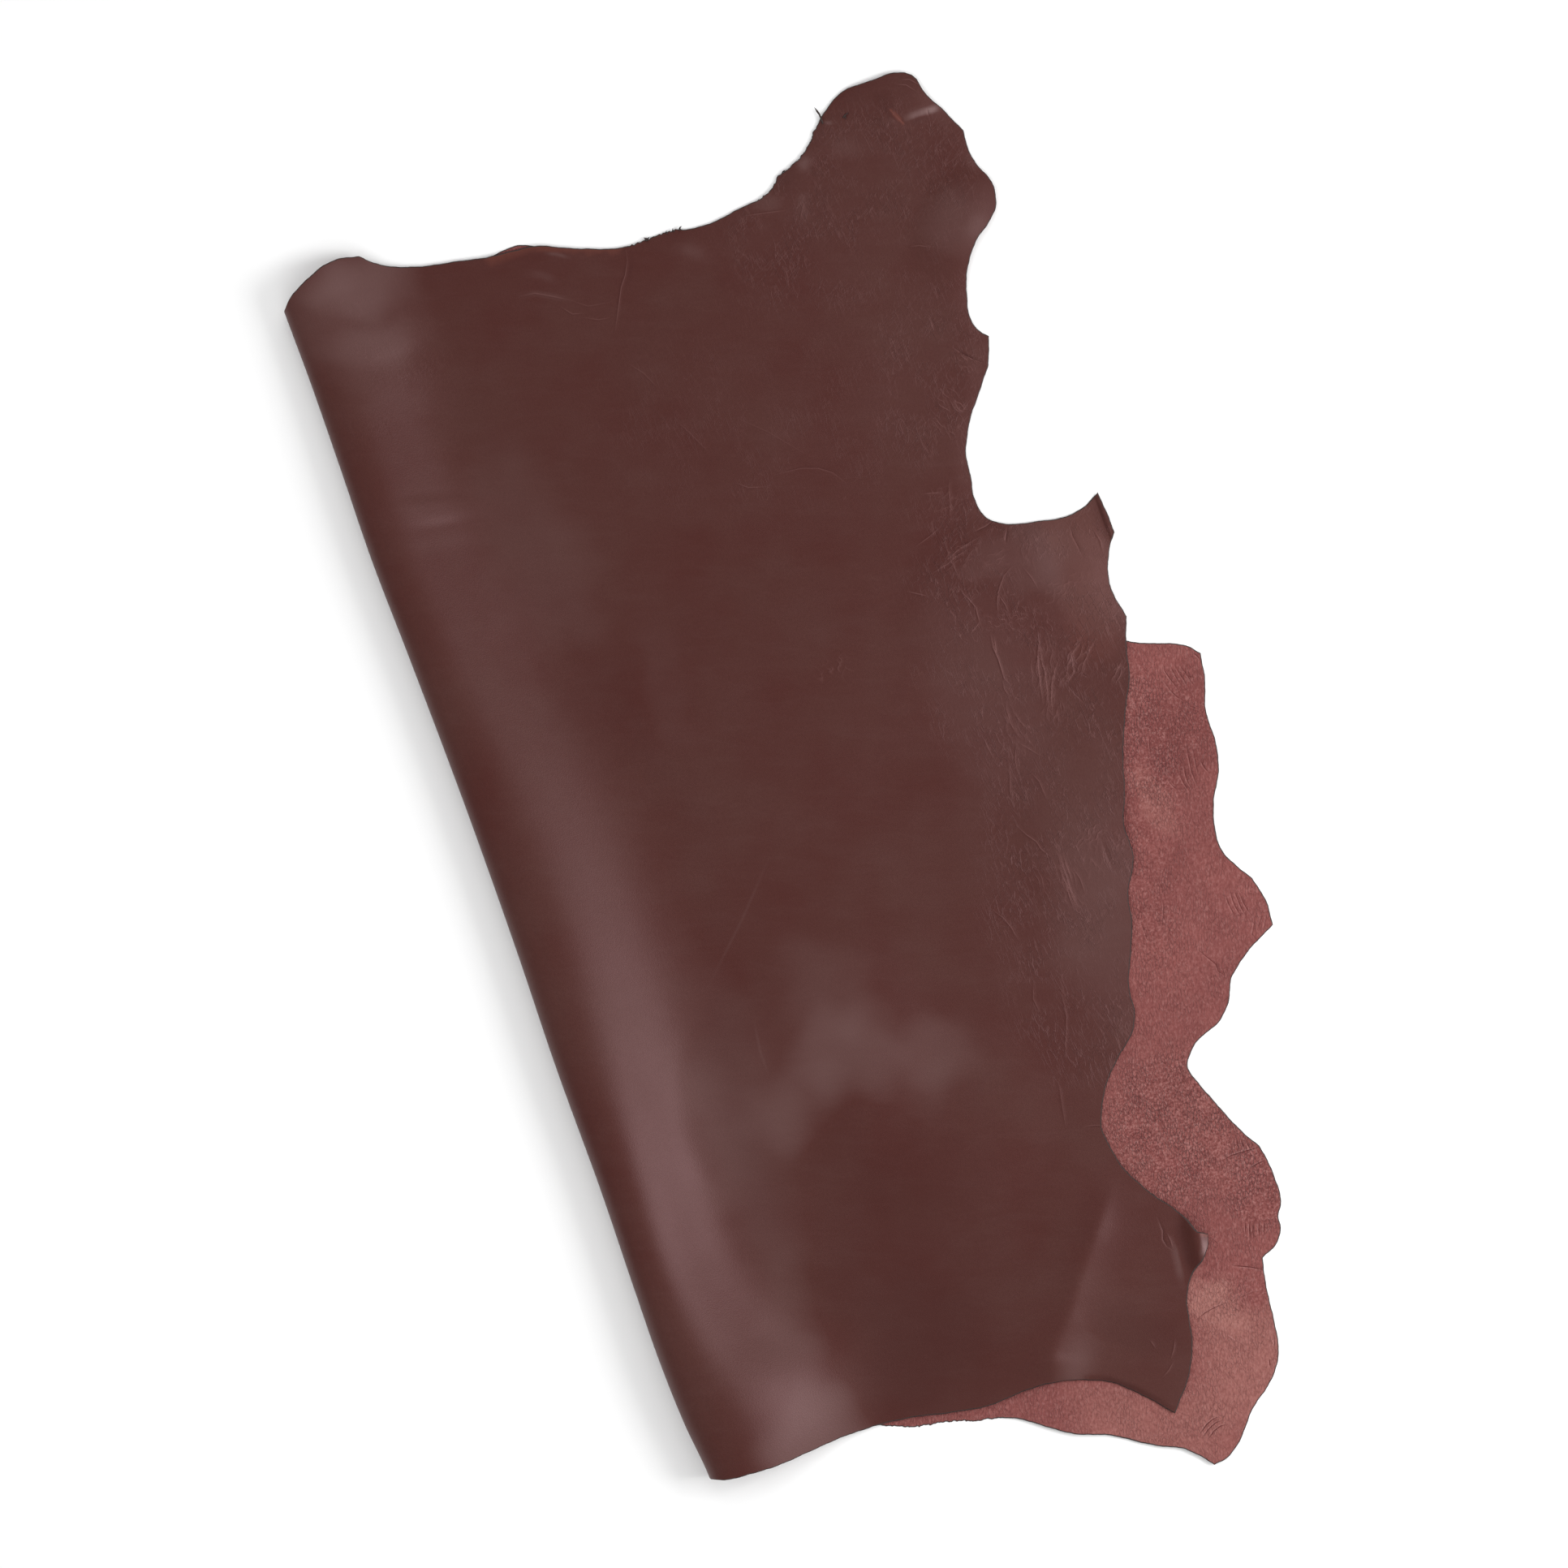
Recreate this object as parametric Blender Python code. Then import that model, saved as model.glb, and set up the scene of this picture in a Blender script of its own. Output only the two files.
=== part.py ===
"""A whole finished leather hide folded once along its backbone.

The hide lies on a flat surface with its grain side out. The fold is soft and
unpressed. The half below reaches past the half above at the belly and at the
rump, and shows its flesh side there. Sizes are in millimetres until the mesh
is written in metres.
"""
import math

import bpy
import numpy as np
from mathutils import Vector
from mathutils.geometry import delaunay_2d_cdt

MM = 0.001

# sheet
THICKNESS = 1.6
LAYER_GAP = 1.4

# fold section: the bend is tight at the edge of the fold and opens slowly above it,
# then the half above comes down at this angle and levels out
BEND_TIGHTENS = 1.3
BEND_OPENS = 5.0
BEND_REACH = 3.0
LEVELLING_OVERLAP = 1.5
DESCENT_ANGLE = math.radians(29.5)
SECTION_STEPS = 2400
SECTION_REACH = 9.0

# mesh
EDGE_STEP = 15.0
CREASE_STEP = 12.0
MIN_EDGE_CLEARANCE = 0.45
NORMAL_STEP = 0.4

# the half above settles to the surface past the edge of the half below
SETTLE_START = 3.0
SETTLE_LENGTH = 30.0

# backbone fold: place along the hide, edge of the fold across, width and height of the
# loop, where the width is the height of an evenly scaled loop
FOLD_COLUMNS = ("along", "across", "width", "height")
FOLD = (
    (-10.0, -1.0, 50.0, 45.0),
    (0.0, -1.0, 52.0, 46.0),
    (60.0, -6.0, 57.0, 50.0),
    (120.0, -8.0, 46.0, 49.0),
    (200.0, -7.0, 37.0, 45.0),
    (300.0, -4.7, 38.0, 44.0),
    (430.0, -4.5, 46.0, 45.0),
    (550.0, -1.6, 51.0, 44.0),
    (700.0, -0.3, 49.0, 42.0),
    (860.0, -2.0, 40.0, 39.0),
    (960.0, -3.8, 37.0, 38.0),
    (1060.0, -1.8, 37.0, 36.0),
    (1150.0, -0.5, 40.0, 34.0),
    (1222.0, -1.0, 38.0, 31.0),
    (1260.0, -1.0, 37.0, 30.0),
)

# outline of the half above, from the neck end of the fold round to its rump end
EDGE_COLUMNS = ("across", "along", "corner")
EDGE_ABOVE = (
    # neck end
    (-1.0, 1222.0, 0), (6.0, 1229.0, 0), (16.0, 1236.0, 0), (36.0, 1245.0, 0),
    (50.0, 1250.5, 0), (62.0, 1252.5, 0), (86.0, 1248.0, 1), (97.0, 1238.0, 0),
    (112.0, 1228.5, 0), (134.0, 1220.0, 0), (165.0, 1213.0, 0), (209.0, 1204.0, 0),
    (232.0, 1201.5, 0), (250.0, 1199.5, 0), (272.0, 1190.5, 0), (297.0, 1179.5, 0),
    (335.0, 1167.5, 0), (386.0, 1166.0, 0), (395.0, 1163.5, 0), (428.0, 1161.0, 0),
    (455.0, 1164.5, 0), (487.0, 1169.5, 0), (502.0, 1181.0, 0), (530.0, 1192.0, 0),
    (548.0, 1209.0, 0), (566.0, 1225.5, 0),
    # fore shank
    (583.0, 1236.0, 0), (620.0, 1238.5, 0), (647.0, 1236.5, 0), (659.0, 1230.0, 0),
    (662.0, 1222.0, 1), (667.0, 1203.0, 0), (674.0, 1191.0, 0), (688.0, 1161.0, 1),
    (686.0, 1145.0, 0), (688.0, 1129.0, 0), (697.0, 1098.0, 0), (693.0, 1081.0, 0),
    (679.0, 1066.0, 0), (661.0, 1053.0, 0), (646.0, 1033.0, 0), (635.0, 1006.0, 0),
    (631.0, 985.0, 0), (637.0, 967.0, 0), (642.0, 962.0, 1), (632.0, 935.0, 1),
    # belly
    (613.0, 912.0, 0), (594.0, 887.0, 0), (581.0, 860.0, 0), (578.0, 840.0, 0),
    (574.0, 814.0, 0), (578.0, 795.0, 0), (584.0, 789.0, 0), (598.0, 781.0, 0),
    (630.0, 773.0, 0), (652.0, 769.0, 0), (670.0, 771.0, 0), (690.0, 781.0, 1),
    (691.5, 757.0, 0), (692.0, 738.0, 1), (683.0, 726.0, 0), (674.0, 708.0, 0),
    (670.0, 682.0, 0), (675.0, 656.0, 1), (666.0, 634.0, 0), (657.0, 599.0, 0),
    (646.0, 577.0, 0), (631.0, 545.0, 0), (610.0, 485.0, 0), (602.0, 465.0, 0),
    (600.0, 431.0, 0), (583.0, 400.0, 0), (576.0, 370.0, 0), (551.0, 308.0, 0),
    (548.0, 286.0, 0), (541.0, 271.0, 0), (517.0, 250.0, 0), (500.0, 232.0, 0),
    (486.0, 210.0, 0), (479.0, 190.0, 0), (480.0, 172.0, 0), (485.0, 148.0, 0),
    (500.0, 118.0, 0), (521.0, 88.0, 0), (527.0, 78.0, 0), (532.0, 63.0, 1),
    (541.0, 57.0, 1), (538.0, 48.0, 0), (530.0, 37.0, 0), (512.0, 24.0, 0),
    # rump end
    (501.0, 6.0, 0), (495.0, -17.0, 0), (489.0, -42.0, 0), (474.0, -70.0, 0),
    (450.0, -98.0, 1), (438.0, -84.0, 0), (420.0, -64.0, 0), (400.0, -47.0, 0),
    (376.0, -36.0, 0), (345.0, -28.0, 0), (270.0, -27.0, 0), (238.0, -20.5, 0),
    (200.0, -12.0, 0), (170.0, -8.5, 0), (120.0, -7.5, 0), (80.0, -9.5, 0),
    (40.0, -8.0, 0), (12.0, -4.5, 0), (-1.0, 0.0, 0),
)

# outline of the half below, from the rump end of the fold round to its neck end
EDGE_BELOW = (
    # rump end
    (-1.0, 0.0, 0), (20.0, -3.0, 0), (60.0, -4.0, 0), (110.0, -3.0, 0),
    (150.0, -4.5, 0), (172.0, -9.5, 0), (197.0, -20.0, 0), (250.0, -33.0, 0),
    (262.0, -38.0, 0), (279.0, -40.5, 0), (300.0, -49.0, 0), (350.0, -83.0, 0),
    (380.0, -95.5, 0), (430.0, -126.0, 0), (444.0, -132.0, 0), (458.0, -145.0, 0),
    (469.0, -159.0, 1), (482.0, -157.0, 0), (497.0, -149.0, 0), (522.0, -122.0, 0),
    (548.0, -102.0, 0), (560.0, -90.0, 0), (567.0, -76.0, 0), (573.0, -50.0, 0),
    (577.0, -15.0, 0), (584.0, 16.0, 1), (603.0, 26.0, 0), (611.0, 38.0, 0),
    (613.0, 50.0, 0), (619.0, 60.0, 0), (622.5, 88.0, 0), (619.0, 121.0, 1),
    # belly
    (607.0, 141.0, 0), (597.0, 165.0, 0), (583.0, 202.0, 0), (579.0, 219.0, 0),
    (585.0, 229.0, 0), (594.0, 237.0, 0), (624.0, 250.0, 0), (640.0, 266.0, 0),
    (650.0, 286.0, 0), (660.0, 295.0, 0), (680.0, 308.0, 0), (706.0, 321.0, 1),
    (708.0, 340.0, 0), (703.0, 371.0, 1), (691.0, 390.0, 0), (684.0, 408.0, 0),
    (684.0, 425.0, 0), (693.0, 455.0, 0), (708.0, 483.0, 0), (714.5, 506.0, 0),
    (716.0, 540.0, 0), (726.0, 571.0, 0), (731.0, 597.0, 1), (722.0, 607.0, 0),
    (705.0, 617.0, 0), (685.0, 624.0, 0), (666.0, 634.0, 0), (650.0, 652.0, 0),
    (646.0, 682.0, 0), (655.0, 720.0, 0), (652.0, 748.0, 0), (600.0, 757.0, 0),
    (562.0, 784.0, 0), (557.0, 820.0, 0), (566.0, 872.0, 0), (596.0, 920.0, 0),
    (612.0, 960.0, 0), (614.0, 1010.0, 0),
    # fore shank and neck end
    (636.0, 1052.0, 0), (666.0, 1082.0, 0), (670.0, 1120.0, 0), (664.0, 1165.0, 0),
    (646.0, 1205.0, 0), (615.0, 1219.0, 0), (580.0, 1211.0, 0), (552.0, 1187.0, 0),
    (515.0, 1168.0, 0), (470.0, 1148.0, 0), (415.0, 1143.0, 0), (345.0, 1148.0, 0),
    (300.0, 1164.0, 0), (266.0, 1184.0, 0), (250.0, 1199.8, 0), (241.0, 1204.0, 0),
    (228.0, 1205.8, 0), (212.0, 1204.6, 0), (190.0, 1201.0, 0), (150.0, 1207.0, 0),
    (112.0, 1219.0, 0), (78.0, 1236.0, 0), (42.0, 1233.0, 0), (12.0, 1226.0, 0),
    (-1.0, 1222.0, 0),
)

# soft swells: middle, half lengths of the oval, its turn in degrees, rise
SWELL_COLUMNS = ("across", "along", "reach_across", "reach_along", "turn", "rise")
SWELLS_ABOVE = (
    (664.0, 1064.0, 70.0, 55.0, 25.0, 9.0),
    (640.0, 1225.0, 60.0, 36.0, -5.0, 3.0),
    (225.0, 345.0, 150.0, 120.0, 30.0, 5.0),
    (330.0, 255.0, 130.0, 110.0, -15.0, 4.0),
    (330.0, 700.0, 190.0, 150.0, 10.0, 3.0),
    (560.0, 715.0, 110.0, 90.0, 0.0, 4.0),
    (420.0, 1010.0, 160.0, 120.0, -20.0, 3.0),
    (560.0, 480.0, 70.0, 110.0, -20.0, 3.0),
)
SWELLS_BELOW = (
    (345.0, -92.0, 95.0, 34.0, -33.0, 4.0),
    (450.0, -150.0, 80.0, 36.0, -30.0, 4.0),
    (700.0, 470.0, 40.0, 80.0, 0.0, 2.5),
    (590.0, 200.0, 40.0, 60.0, 15.0, 2.0),
)

# creases of the half above: a bent line, its rise, how sharp and how wide it is
CREASE_COLUMNS = ("across", "along")
RUMP_RIDGE = ((486.0, 151.0), (468.0, 136.0), (445.0, 106.0), (412.0, 66.0),
              (382.0, 26.0), (358.0, 2.0), (347.0, -28.0))
RUMP_RIDGE_RISE = 9.0
RUMP_RIDGE_ROUND = 7.0
RUMP_RIDGE_INNER = 62.0
RUMP_RIDGE_OUTER = 30.0
SHANK_CREASE = ((606.0, 1197.0), (636.0, 1193.0), (676.0, 1190.0))
SHANK_CREASE_RISE = 3.5
SHANK_CREASE_ROUND = 4.0
SHANK_CREASE_INNER = 14.0
SHANK_CREASE_OUTER = 30.0
CREASE_END_TAPER = 40.0

# waves at the free edge: valley line, height, lengths of the climb and of the fall
# past it, and the share of the height that the fall gives back
WAVE_COLUMNS = ("line", "height", "climb", "fall", "given_back", "taper")
WAVES = (
    (((521.5, 94.0), (510.0, 17.0)), 7.5, 15.0, 14.0, 0.8, 12.0),
    (((685.0, 788.0), (685.3, 728.0)), 1.9, 3.6, 6.0, 0.2, 6.0),
)

# spacing of the mesh over the bent backbone and over the flat halves
GRID_COLUMNS = ("from_fold", "step_across")
GRID = (
    (0.0, 6.0),
    (48.0, 9.0),
    (75.0, 15.0),
    (120.0, 22.0),
    (210.0, 34.0),
)
GRID_STEP_ALONG = 36.0

LEATHER_COLOUR = (0.092, 0.036, 0.031, 1.0)
LEATHER_ROUGHNESS = 0.5


def clear_scene():
    for thing in list(bpy.data.objects):
        bpy.data.objects.remove(thing, do_unlink=True)


def soft_step(value):
    value = np.clip(value, 0.0, 1.0)
    return value * value * (3.0 - 2.0 * value)


def bell_turn(value):
    """Share of a bend done at this share of its length; curvature is a soft bell."""
    value = np.clip(value, 0.0, 1.0)
    return value - np.sin(2.0 * math.pi * value) / (2.0 * math.pi)


def column(rows, columns, name):
    place = columns.index(name)
    return np.array([row[place] for row in rows], dtype=float)


def smooth_rows(rows, columns, name, where):
    """Value of a table column between its rows, as a smooth curve."""
    keys = column(rows, columns, columns[0])
    values = column(rows, columns, name)
    slopes = np.gradient(values, keys)
    where = np.clip(where, keys[0], keys[-1])
    low = np.clip(np.searchsorted(keys, where) - 1, 0, len(keys) - 2)
    span = keys[low + 1] - keys[low]
    share = (where - keys[low]) / span
    s2 = share * share
    s3 = s2 * share
    return ((2 * s3 - 3 * s2 + 1) * values[low] + (s3 - 2 * s2 + share) * span * slopes[low]
            + (3 * s2 - 2 * s3) * values[low + 1] + (s3 - s2) * span * slopes[low + 1])


def opening_turn(value):
    """Share of the bend done at this share of its length, most of it near the start."""
    grid = np.linspace(0.0, 1.0, SECTION_STEPS)
    done = np.cumsum(grid ** BEND_TIGHTENS * (1.0 - grid) ** BEND_OPENS)
    return np.interp(value, grid, done / done[-1])


def section_curve(levelling):
    """Section of the fold for a bend that starts at minus one and this levelling length."""
    arc = np.linspace(-1.0, SECTION_REACH, SECTION_STEPS)
    angle = (math.pi - (math.pi + DESCENT_ANGLE) * opening_turn((arc + 1.0) / (1.0 + BEND_REACH))
             + DESCENT_ANGLE * bell_turn((arc - BEND_REACH + LEVELLING_OVERLAP) / levelling))
    step = arc[1] - arc[0]
    middle = 0.5 * (angle[1:] + angle[:-1])
    across = np.concatenate(([0.0], np.cumsum(np.cos(middle)) * step))
    up = np.concatenate(([0.0], np.cumsum(np.sin(middle)) * step))
    return arc, across - across.min(), up


def fold_section():
    """Section whose half above comes down exactly to the half below."""
    low, high = 0.5, SECTION_REACH - BEND_REACH
    for _ in range(60):
        levelling = 0.5 * (low + high)
        arc, across, up = section_curve(levelling)
        if up[-1] > 0.0:
            low = levelling
        else:
            high = levelling
    return arc, across, up, BEND_REACH - LEVELLING_OVERLAP + levelling


ARC, ARC_ACROSS, ARC_UP, ARC_LANDING = fold_section()
ARC_EDGE = ARC[np.argmin(ARC_ACROSS)]
ARC_CREST = ARC[np.argmax(ARC_UP)]
LOOP_HEIGHT = ARC_UP.max()


def bend_size(along):
    return smooth_rows(FOLD, FOLD_COLUMNS, "width", along) / LOOP_HEIGHT


def bend_rise(along):
    return smooth_rows(FOLD, FOLD_COLUMNS, "height", along) / LOOP_HEIGHT


def fold_edge(along):
    return smooth_rows(FOLD, FOLD_COLUMNS, "across", along)


def section_across(arc):
    below = np.maximum(ARC[0] - arc, 0.0)
    above = np.maximum(arc - ARC[-1], 0.0)
    return np.interp(arc, ARC, ARC_ACROSS) + below + above


def from_fold(across, along, side):
    """Length along the sheet from the fold to a place in plan, below it is negative."""
    size = bend_size(along)
    reach = (across - fold_edge(along)) / size
    reach = np.maximum(reach, 0.0)
    if side > 0:
        keep = ARC >= ARC_EDGE
        arc = np.interp(reach, ARC_ACROSS[keep], ARC[keep])
        arc = arc + np.maximum(reach - ARC_ACROSS[-1], 0.0)
    else:
        keep = ARC <= ARC_EDGE
        arc = np.interp(reach, ARC_ACROSS[keep][::-1], ARC[keep][::-1])
        arc = arc - np.maximum(reach - ARC_ACROSS[0], 0.0)
    return arc * size


def spline_points(rows, step):
    """Points at even steps on a smooth curve through the rows, sharp at its corners."""
    points = np.array([(row[0], row[1]) for row in rows])
    corner = [bool(row[2]) for row in rows]
    made = [points[0]]
    for index in range(len(points) - 1):
        a, b = points[index], points[index + 1]
        chord = math.dist(a, b)
        ahead = points[index + 2] if index + 2 < len(points) and not corner[index + 1] else None
        behind = points[index - 1] if index > 0 and not corner[index] else None
        leave = tangent(behind, a, b, chord)
        arrive = tangent(a, b, ahead, chord)
        count = max(1, int(round(chord / step)))
        for part in range(1, count + 1):
            t = part / count
            t2, t3 = t * t, t * t * t
            made.append((2 * t3 - 3 * t2 + 1) * a + (t3 - 2 * t2 + t) * leave
                        + (3 * t2 - 2 * t3) * b + (t3 - t2) * arrive)
    return np.array(made)


def tangent(before, here, after, chord):
    """Direction of the curve at a point, scaled to one stretch of it."""
    if before is None:
        return after - here
    if after is None:
        return here - before
    first = here - before
    last = after - here
    first_length = np.linalg.norm(first)
    last_length = np.linalg.norm(last)
    blend = (first / first_length * last_length + last / last_length * first_length)
    return blend / (first_length + last_length) * chord


def distance_to_line(points, line):
    """Distance to a bent line, side of it, and share of its length at the nearest place."""
    best = np.full(len(points), 1e9)
    side = np.zeros(len(points))
    share = np.zeros(len(points))
    line = np.array(line, dtype=float)
    lengths = np.linalg.norm(np.diff(line, axis=0), axis=1)
    run = 0.0
    for a, b, length in zip(line[:-1], line[1:], lengths):
        way = (b - a) / length
        gap = points - a
        t = np.clip(gap @ way, 0.0, length)
        away = gap - t[:, None] * way
        far = np.hypot(away[:, 0], away[:, 1])
        near = far < best
        best = np.where(near, far, best)
        side = np.where(near, np.sign(way[0] * gap[:, 1] - way[1] * gap[:, 0]), side)
        share = np.where(near, run + t, share)
        run += length
    return best, side, share, run


def past_edge(points, outline):
    """Distance outside a closed outline, zero inside it."""
    best, _, _, _ = distance_to_line(points, np.vstack((outline, outline[:1])))
    inside = np.zeros(len(points), dtype=bool)
    nxt = np.roll(outline, -1, axis=0)
    for a, b in zip(outline, nxt):
        crosses = (a[1] > points[:, 1]) != (b[1] > points[:, 1])
        rise = b[1] - a[1] if b[1] != a[1] else 1e-9
        cut = a[0] + (points[:, 1] - a[1]) * (b[0] - a[0]) / rise
        inside ^= crosses & (points[:, 0] < cut)
    return np.where(inside, 0.0, best)


def swell_height(points, rows):
    height = np.zeros(len(points))
    for across, along, reach_across, reach_along, turn, rise in rows:
        turn = math.radians(turn)
        gap_x = points[:, 0] - across
        gap_y = points[:, 1] - along
        u = (gap_x * math.cos(turn) + gap_y * math.sin(turn)) / reach_across
        v = (gap_y * math.cos(turn) - gap_x * math.sin(turn)) / reach_along
        inside = np.clip(1.0 - u * u - v * v, 0.0, 1.0)
        height += rise * inside * inside * (3.0 - 2.0 * inside)
    return height


def crease_height(points, line, rise, rounding, inner, outer):
    """Soft ridge that falls at its own rate on each side of a bent line."""
    far, side, share, length = distance_to_line(points, line)
    soft = np.sqrt(far * far + rounding * rounding) - rounding
    fall = np.where(side < 0.0, inner, outer)
    ends = soft_step(share / CREASE_END_TAPER + 0.35) * soft_step(
        (length - share) / CREASE_END_TAPER + 0.35)
    reach = np.clip(1.0 - far / (4.0 * fall), 0.0, 1.0)
    return rise * np.exp(-soft / fall) * ends * reach


def wave_height(points):
    """Pleat and turned lip at the free edge of the half above."""
    height = np.zeros(len(points))
    for line, rise, climb, fall, given_back, taper in WAVES:
        far, side, share, length = distance_to_line(points, line)
        past = np.where(side > 0.0, far, 0.0)
        up = soft_step(past / climb) - given_back * soft_step((past - climb) / fall)
        ends = soft_step(share / taper) * soft_step((length - share) / taper)
        height += rise * up * ends
    return height


BELOW_OUTLINE = spline_points(EDGE_BELOW, 20.0)


def sheet_middle(flat):
    """Place of the middle of the sheet for lengths from the fold and along it."""
    length, along = flat[:, 0], flat[:, 1]
    size = bend_size(along)
    arc = length / size
    across = fold_edge(along) + size * section_across(arc)
    plan = np.column_stack((across, along))
    up = bend_rise(along) * np.interp(arc, ARC, ARC_UP, left=0.0, right=0.0)

    below = swell_height(plan, SWELLS_BELOW)
    cover = 1.0 - soft_step((past_edge(plan, BELOW_OUTLINE) - SETTLE_START) / SETTLE_LENGTH)
    settled = soft_step((arc - ARC_CREST) / (ARC_LANDING - ARC_CREST))
    above = swell_height(plan, SWELLS_ABOVE)
    above += crease_height(plan, RUMP_RIDGE, RUMP_RIDGE_RISE, RUMP_RIDGE_ROUND,
                           RUMP_RIDGE_INNER, RUMP_RIDGE_OUTER)
    above += crease_height(plan, SHANK_CREASE, SHANK_CREASE_RISE, SHANK_CREASE_ROUND,
                           SHANK_CREASE_INNER, SHANK_CREASE_OUTER)
    above += wave_height(plan)

    on_top = arc > 0.0
    lift = np.where(on_top, settled * (cover * (THICKNESS + LAYER_GAP) + below)
                    + soft_step((arc - ARC_CREST) / 1.5) * above,
                    soft_step(-arc - 1.0) * below)
    return np.column_stack((plan, up + lift + THICKNESS / 2.0))


def sheet_sides(flat):
    """Grain side and flesh side of the sheet, half a thickness off its middle."""
    middle = sheet_middle(flat)
    step = np.array((NORMAL_STEP, 0.0))
    across = sheet_middle(flat + step) - sheet_middle(flat - step)
    step = np.array((0.0, NORMAL_STEP))
    along = sheet_middle(flat + step) - sheet_middle(flat - step)
    normal = np.cross(across, along)
    normal /= np.linalg.norm(normal, axis=1)[:, None]
    return middle + normal * THICKNESS / 2.0, middle - normal * THICKNESS / 2.0


def flat_outline(step):
    """Outline of the opened hide: length from the fold, place along it."""
    above = spline_points(EDGE_ABOVE, step)
    below = spline_points(EDGE_BELOW, step)
    above_flat = np.column_stack((from_fold(above[:, 0], above[:, 1], 1), above[:, 1]))
    below_flat = np.column_stack((from_fold(below[:, 0], below[:, 1], -1), below[:, 1]))
    outline = np.vstack((above_flat[:-1], below_flat[:-1]))
    return fill_long_steps(outline, 1.6 * step)


def fill_long_steps(outline, longest):
    """Add points where the fold stretches a step of the outline."""
    made = []
    nxt = np.roll(outline, -1, axis=0)
    for a, b in zip(outline, nxt):
        count = max(1, int(math.ceil(math.dist(a, b) / longest)))
        for part in range(count):
            made.append(a + (b - a) * part / count)
    return np.array(made)


def grid_points():
    """Mesh points inside the outline: close over the fold, wide over the flat halves."""
    starts = [row[0] for row in GRID] + [760.0]
    lengths = [0.0]
    for (start, step), end in zip(GRID, starts[1:]):
        count = int(math.ceil((end - start) / step))
        lengths += [start + (end - start) * part / count for part in range(1, count + 1)]
    lengths = [-value for value in lengths[:0:-1]] + lengths
    rows = []
    along = -150.0
    shift = False
    while along < 1250.0:
        for index, value in enumerate(lengths):
            near = abs(value) < 90.0
            lean = 0.0 if near or not shift else 0.5 * (lengths[index] - lengths[index - 1])
            rows.append((value - lean, along))
        along += GRID_STEP_ALONG
        shift = not shift
    return rows


def feature_points():
    """Extra mesh points on the creases and on the waves of the free edge."""
    rows = []
    for line in (RUMP_RIDGE, SHANK_CREASE):
        made = spline_points([(x, y, 0) for x, y in line], CREASE_STEP)
        for shift in (-14.0, 0.0, 14.0):
            rows += [(x + shift, y) for x, y in made]
    for line, _, climb, fall, _, _ in WAVES:
        made = spline_points([(x, y, 0) for x, y in line], 0.8 * climb + 3.0)
        for shift in (0.0, 0.5 * climb, climb, climb + 0.5 * fall):
            rows += [(x + shift, y) for x, y in made]
    rows = np.array(rows)
    lengths = from_fold(rows[:, 0], rows[:, 1], 1)
    return [tuple(row) for row in np.column_stack((lengths, rows[:, 1]))]


def inside_points(candidates, outline):
    """Candidates well inside the outline and not on top of each other."""
    points = np.array(candidates)
    closed = np.vstack((outline, outline[:1]))
    far, _, _, _ = distance_to_line(points, closed)
    outside = past_edge(points, outline) > 0.0
    clear = (far > MIN_EDGE_CLEARANCE * 10.0) & ~outside
    kept = []
    for point in points[clear]:
        if all(math.dist(point, other) > 4.0 for other in kept[-400:]):
            kept.append(point)
    return np.array(kept)


def build_hide():
    outline = flat_outline(EDGE_STEP)
    inner = inside_points(feature_points() + grid_points(), outline)
    flat = np.vstack((outline, inner))
    rim = list(range(len(outline)))
    coords = [Vector((x, y)) for x, y in flat * MM]
    made, _, faces, origins, _, _ = delaunay_2d_cdt(coords, [], [rim], 1, 1e-7)
    flat = np.array([(point.x, point.y) for point in made]) / MM
    grain, flesh = sheet_sides(flat)
    count = len(flat)
    rim = [0] * len(outline)
    for index, sources in enumerate(origins):
        for source in sources:
            if source < len(rim):
                rim[source] = index
    triangles = []
    for face in faces:
        a, b, c = (flat[place] for place in face)
        turn = (b[0] - a[0]) * (c[1] - a[1]) - (b[1] - a[1]) * (c[0] - a[0])
        face = list(face) if turn > 0.0 else list(face)[::-1]
        triangles.append(face)
        triangles.append([place + count for place in reversed(face)])
    around = np.roll(outline, -1, axis=0)
    turn = np.sum(outline[:, 0] * around[:, 1] - outline[:, 1] * around[:, 0])
    if turn < 0.0:
        rim = rim[::-1]
    for here, after in zip(rim, rim[1:] + rim[:1]):
        triangles.append([here, here + count, after + count])
        triangles.append([here, after + count, after])
    points = np.vstack((grain, flesh))
    low = points.min(axis=0)
    high = points.max(axis=0)
    middle = np.array(((low[0] + high[0]) / 2.0, (low[1] + high[1]) / 2.0, low[2]))
    mesh = bpy.data.meshes.new("hide")
    mesh.from_pydata([tuple(point) for point in (points - middle) * MM], [], triangles)
    mesh.update()
    return mesh


def leather_material():
    material = bpy.data.materials.new("hide_leather")
    material.use_nodes = True
    shader = material.node_tree.nodes["Principled BSDF"]
    shader.inputs["Base Color"].default_value = LEATHER_COLOUR
    shader.inputs["Roughness"].default_value = LEATHER_ROUGHNESS
    return material


def main():
    clear_scene()
    mesh = build_hide()
    mesh.materials.append(leather_material())
    hide = bpy.data.objects.new("hide", mesh)
    bpy.context.scene.collection.objects.link(hide)


main()
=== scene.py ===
"""A finished leather hide, folded once along its backbone and laid out flat.

The sheet follows the folds of the solid hide, with the wrinkles, scars, cut edge
and finish of the leather on it, and highlights and shade painted into its colour. Sizes are
in millimetres until the mesh is made.
"""
import math

import bpy
import numpy as np
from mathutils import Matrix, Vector
from mathutils.geometry import delaunay_2d_cdt
from mathutils.kdtree import KDTree


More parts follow.
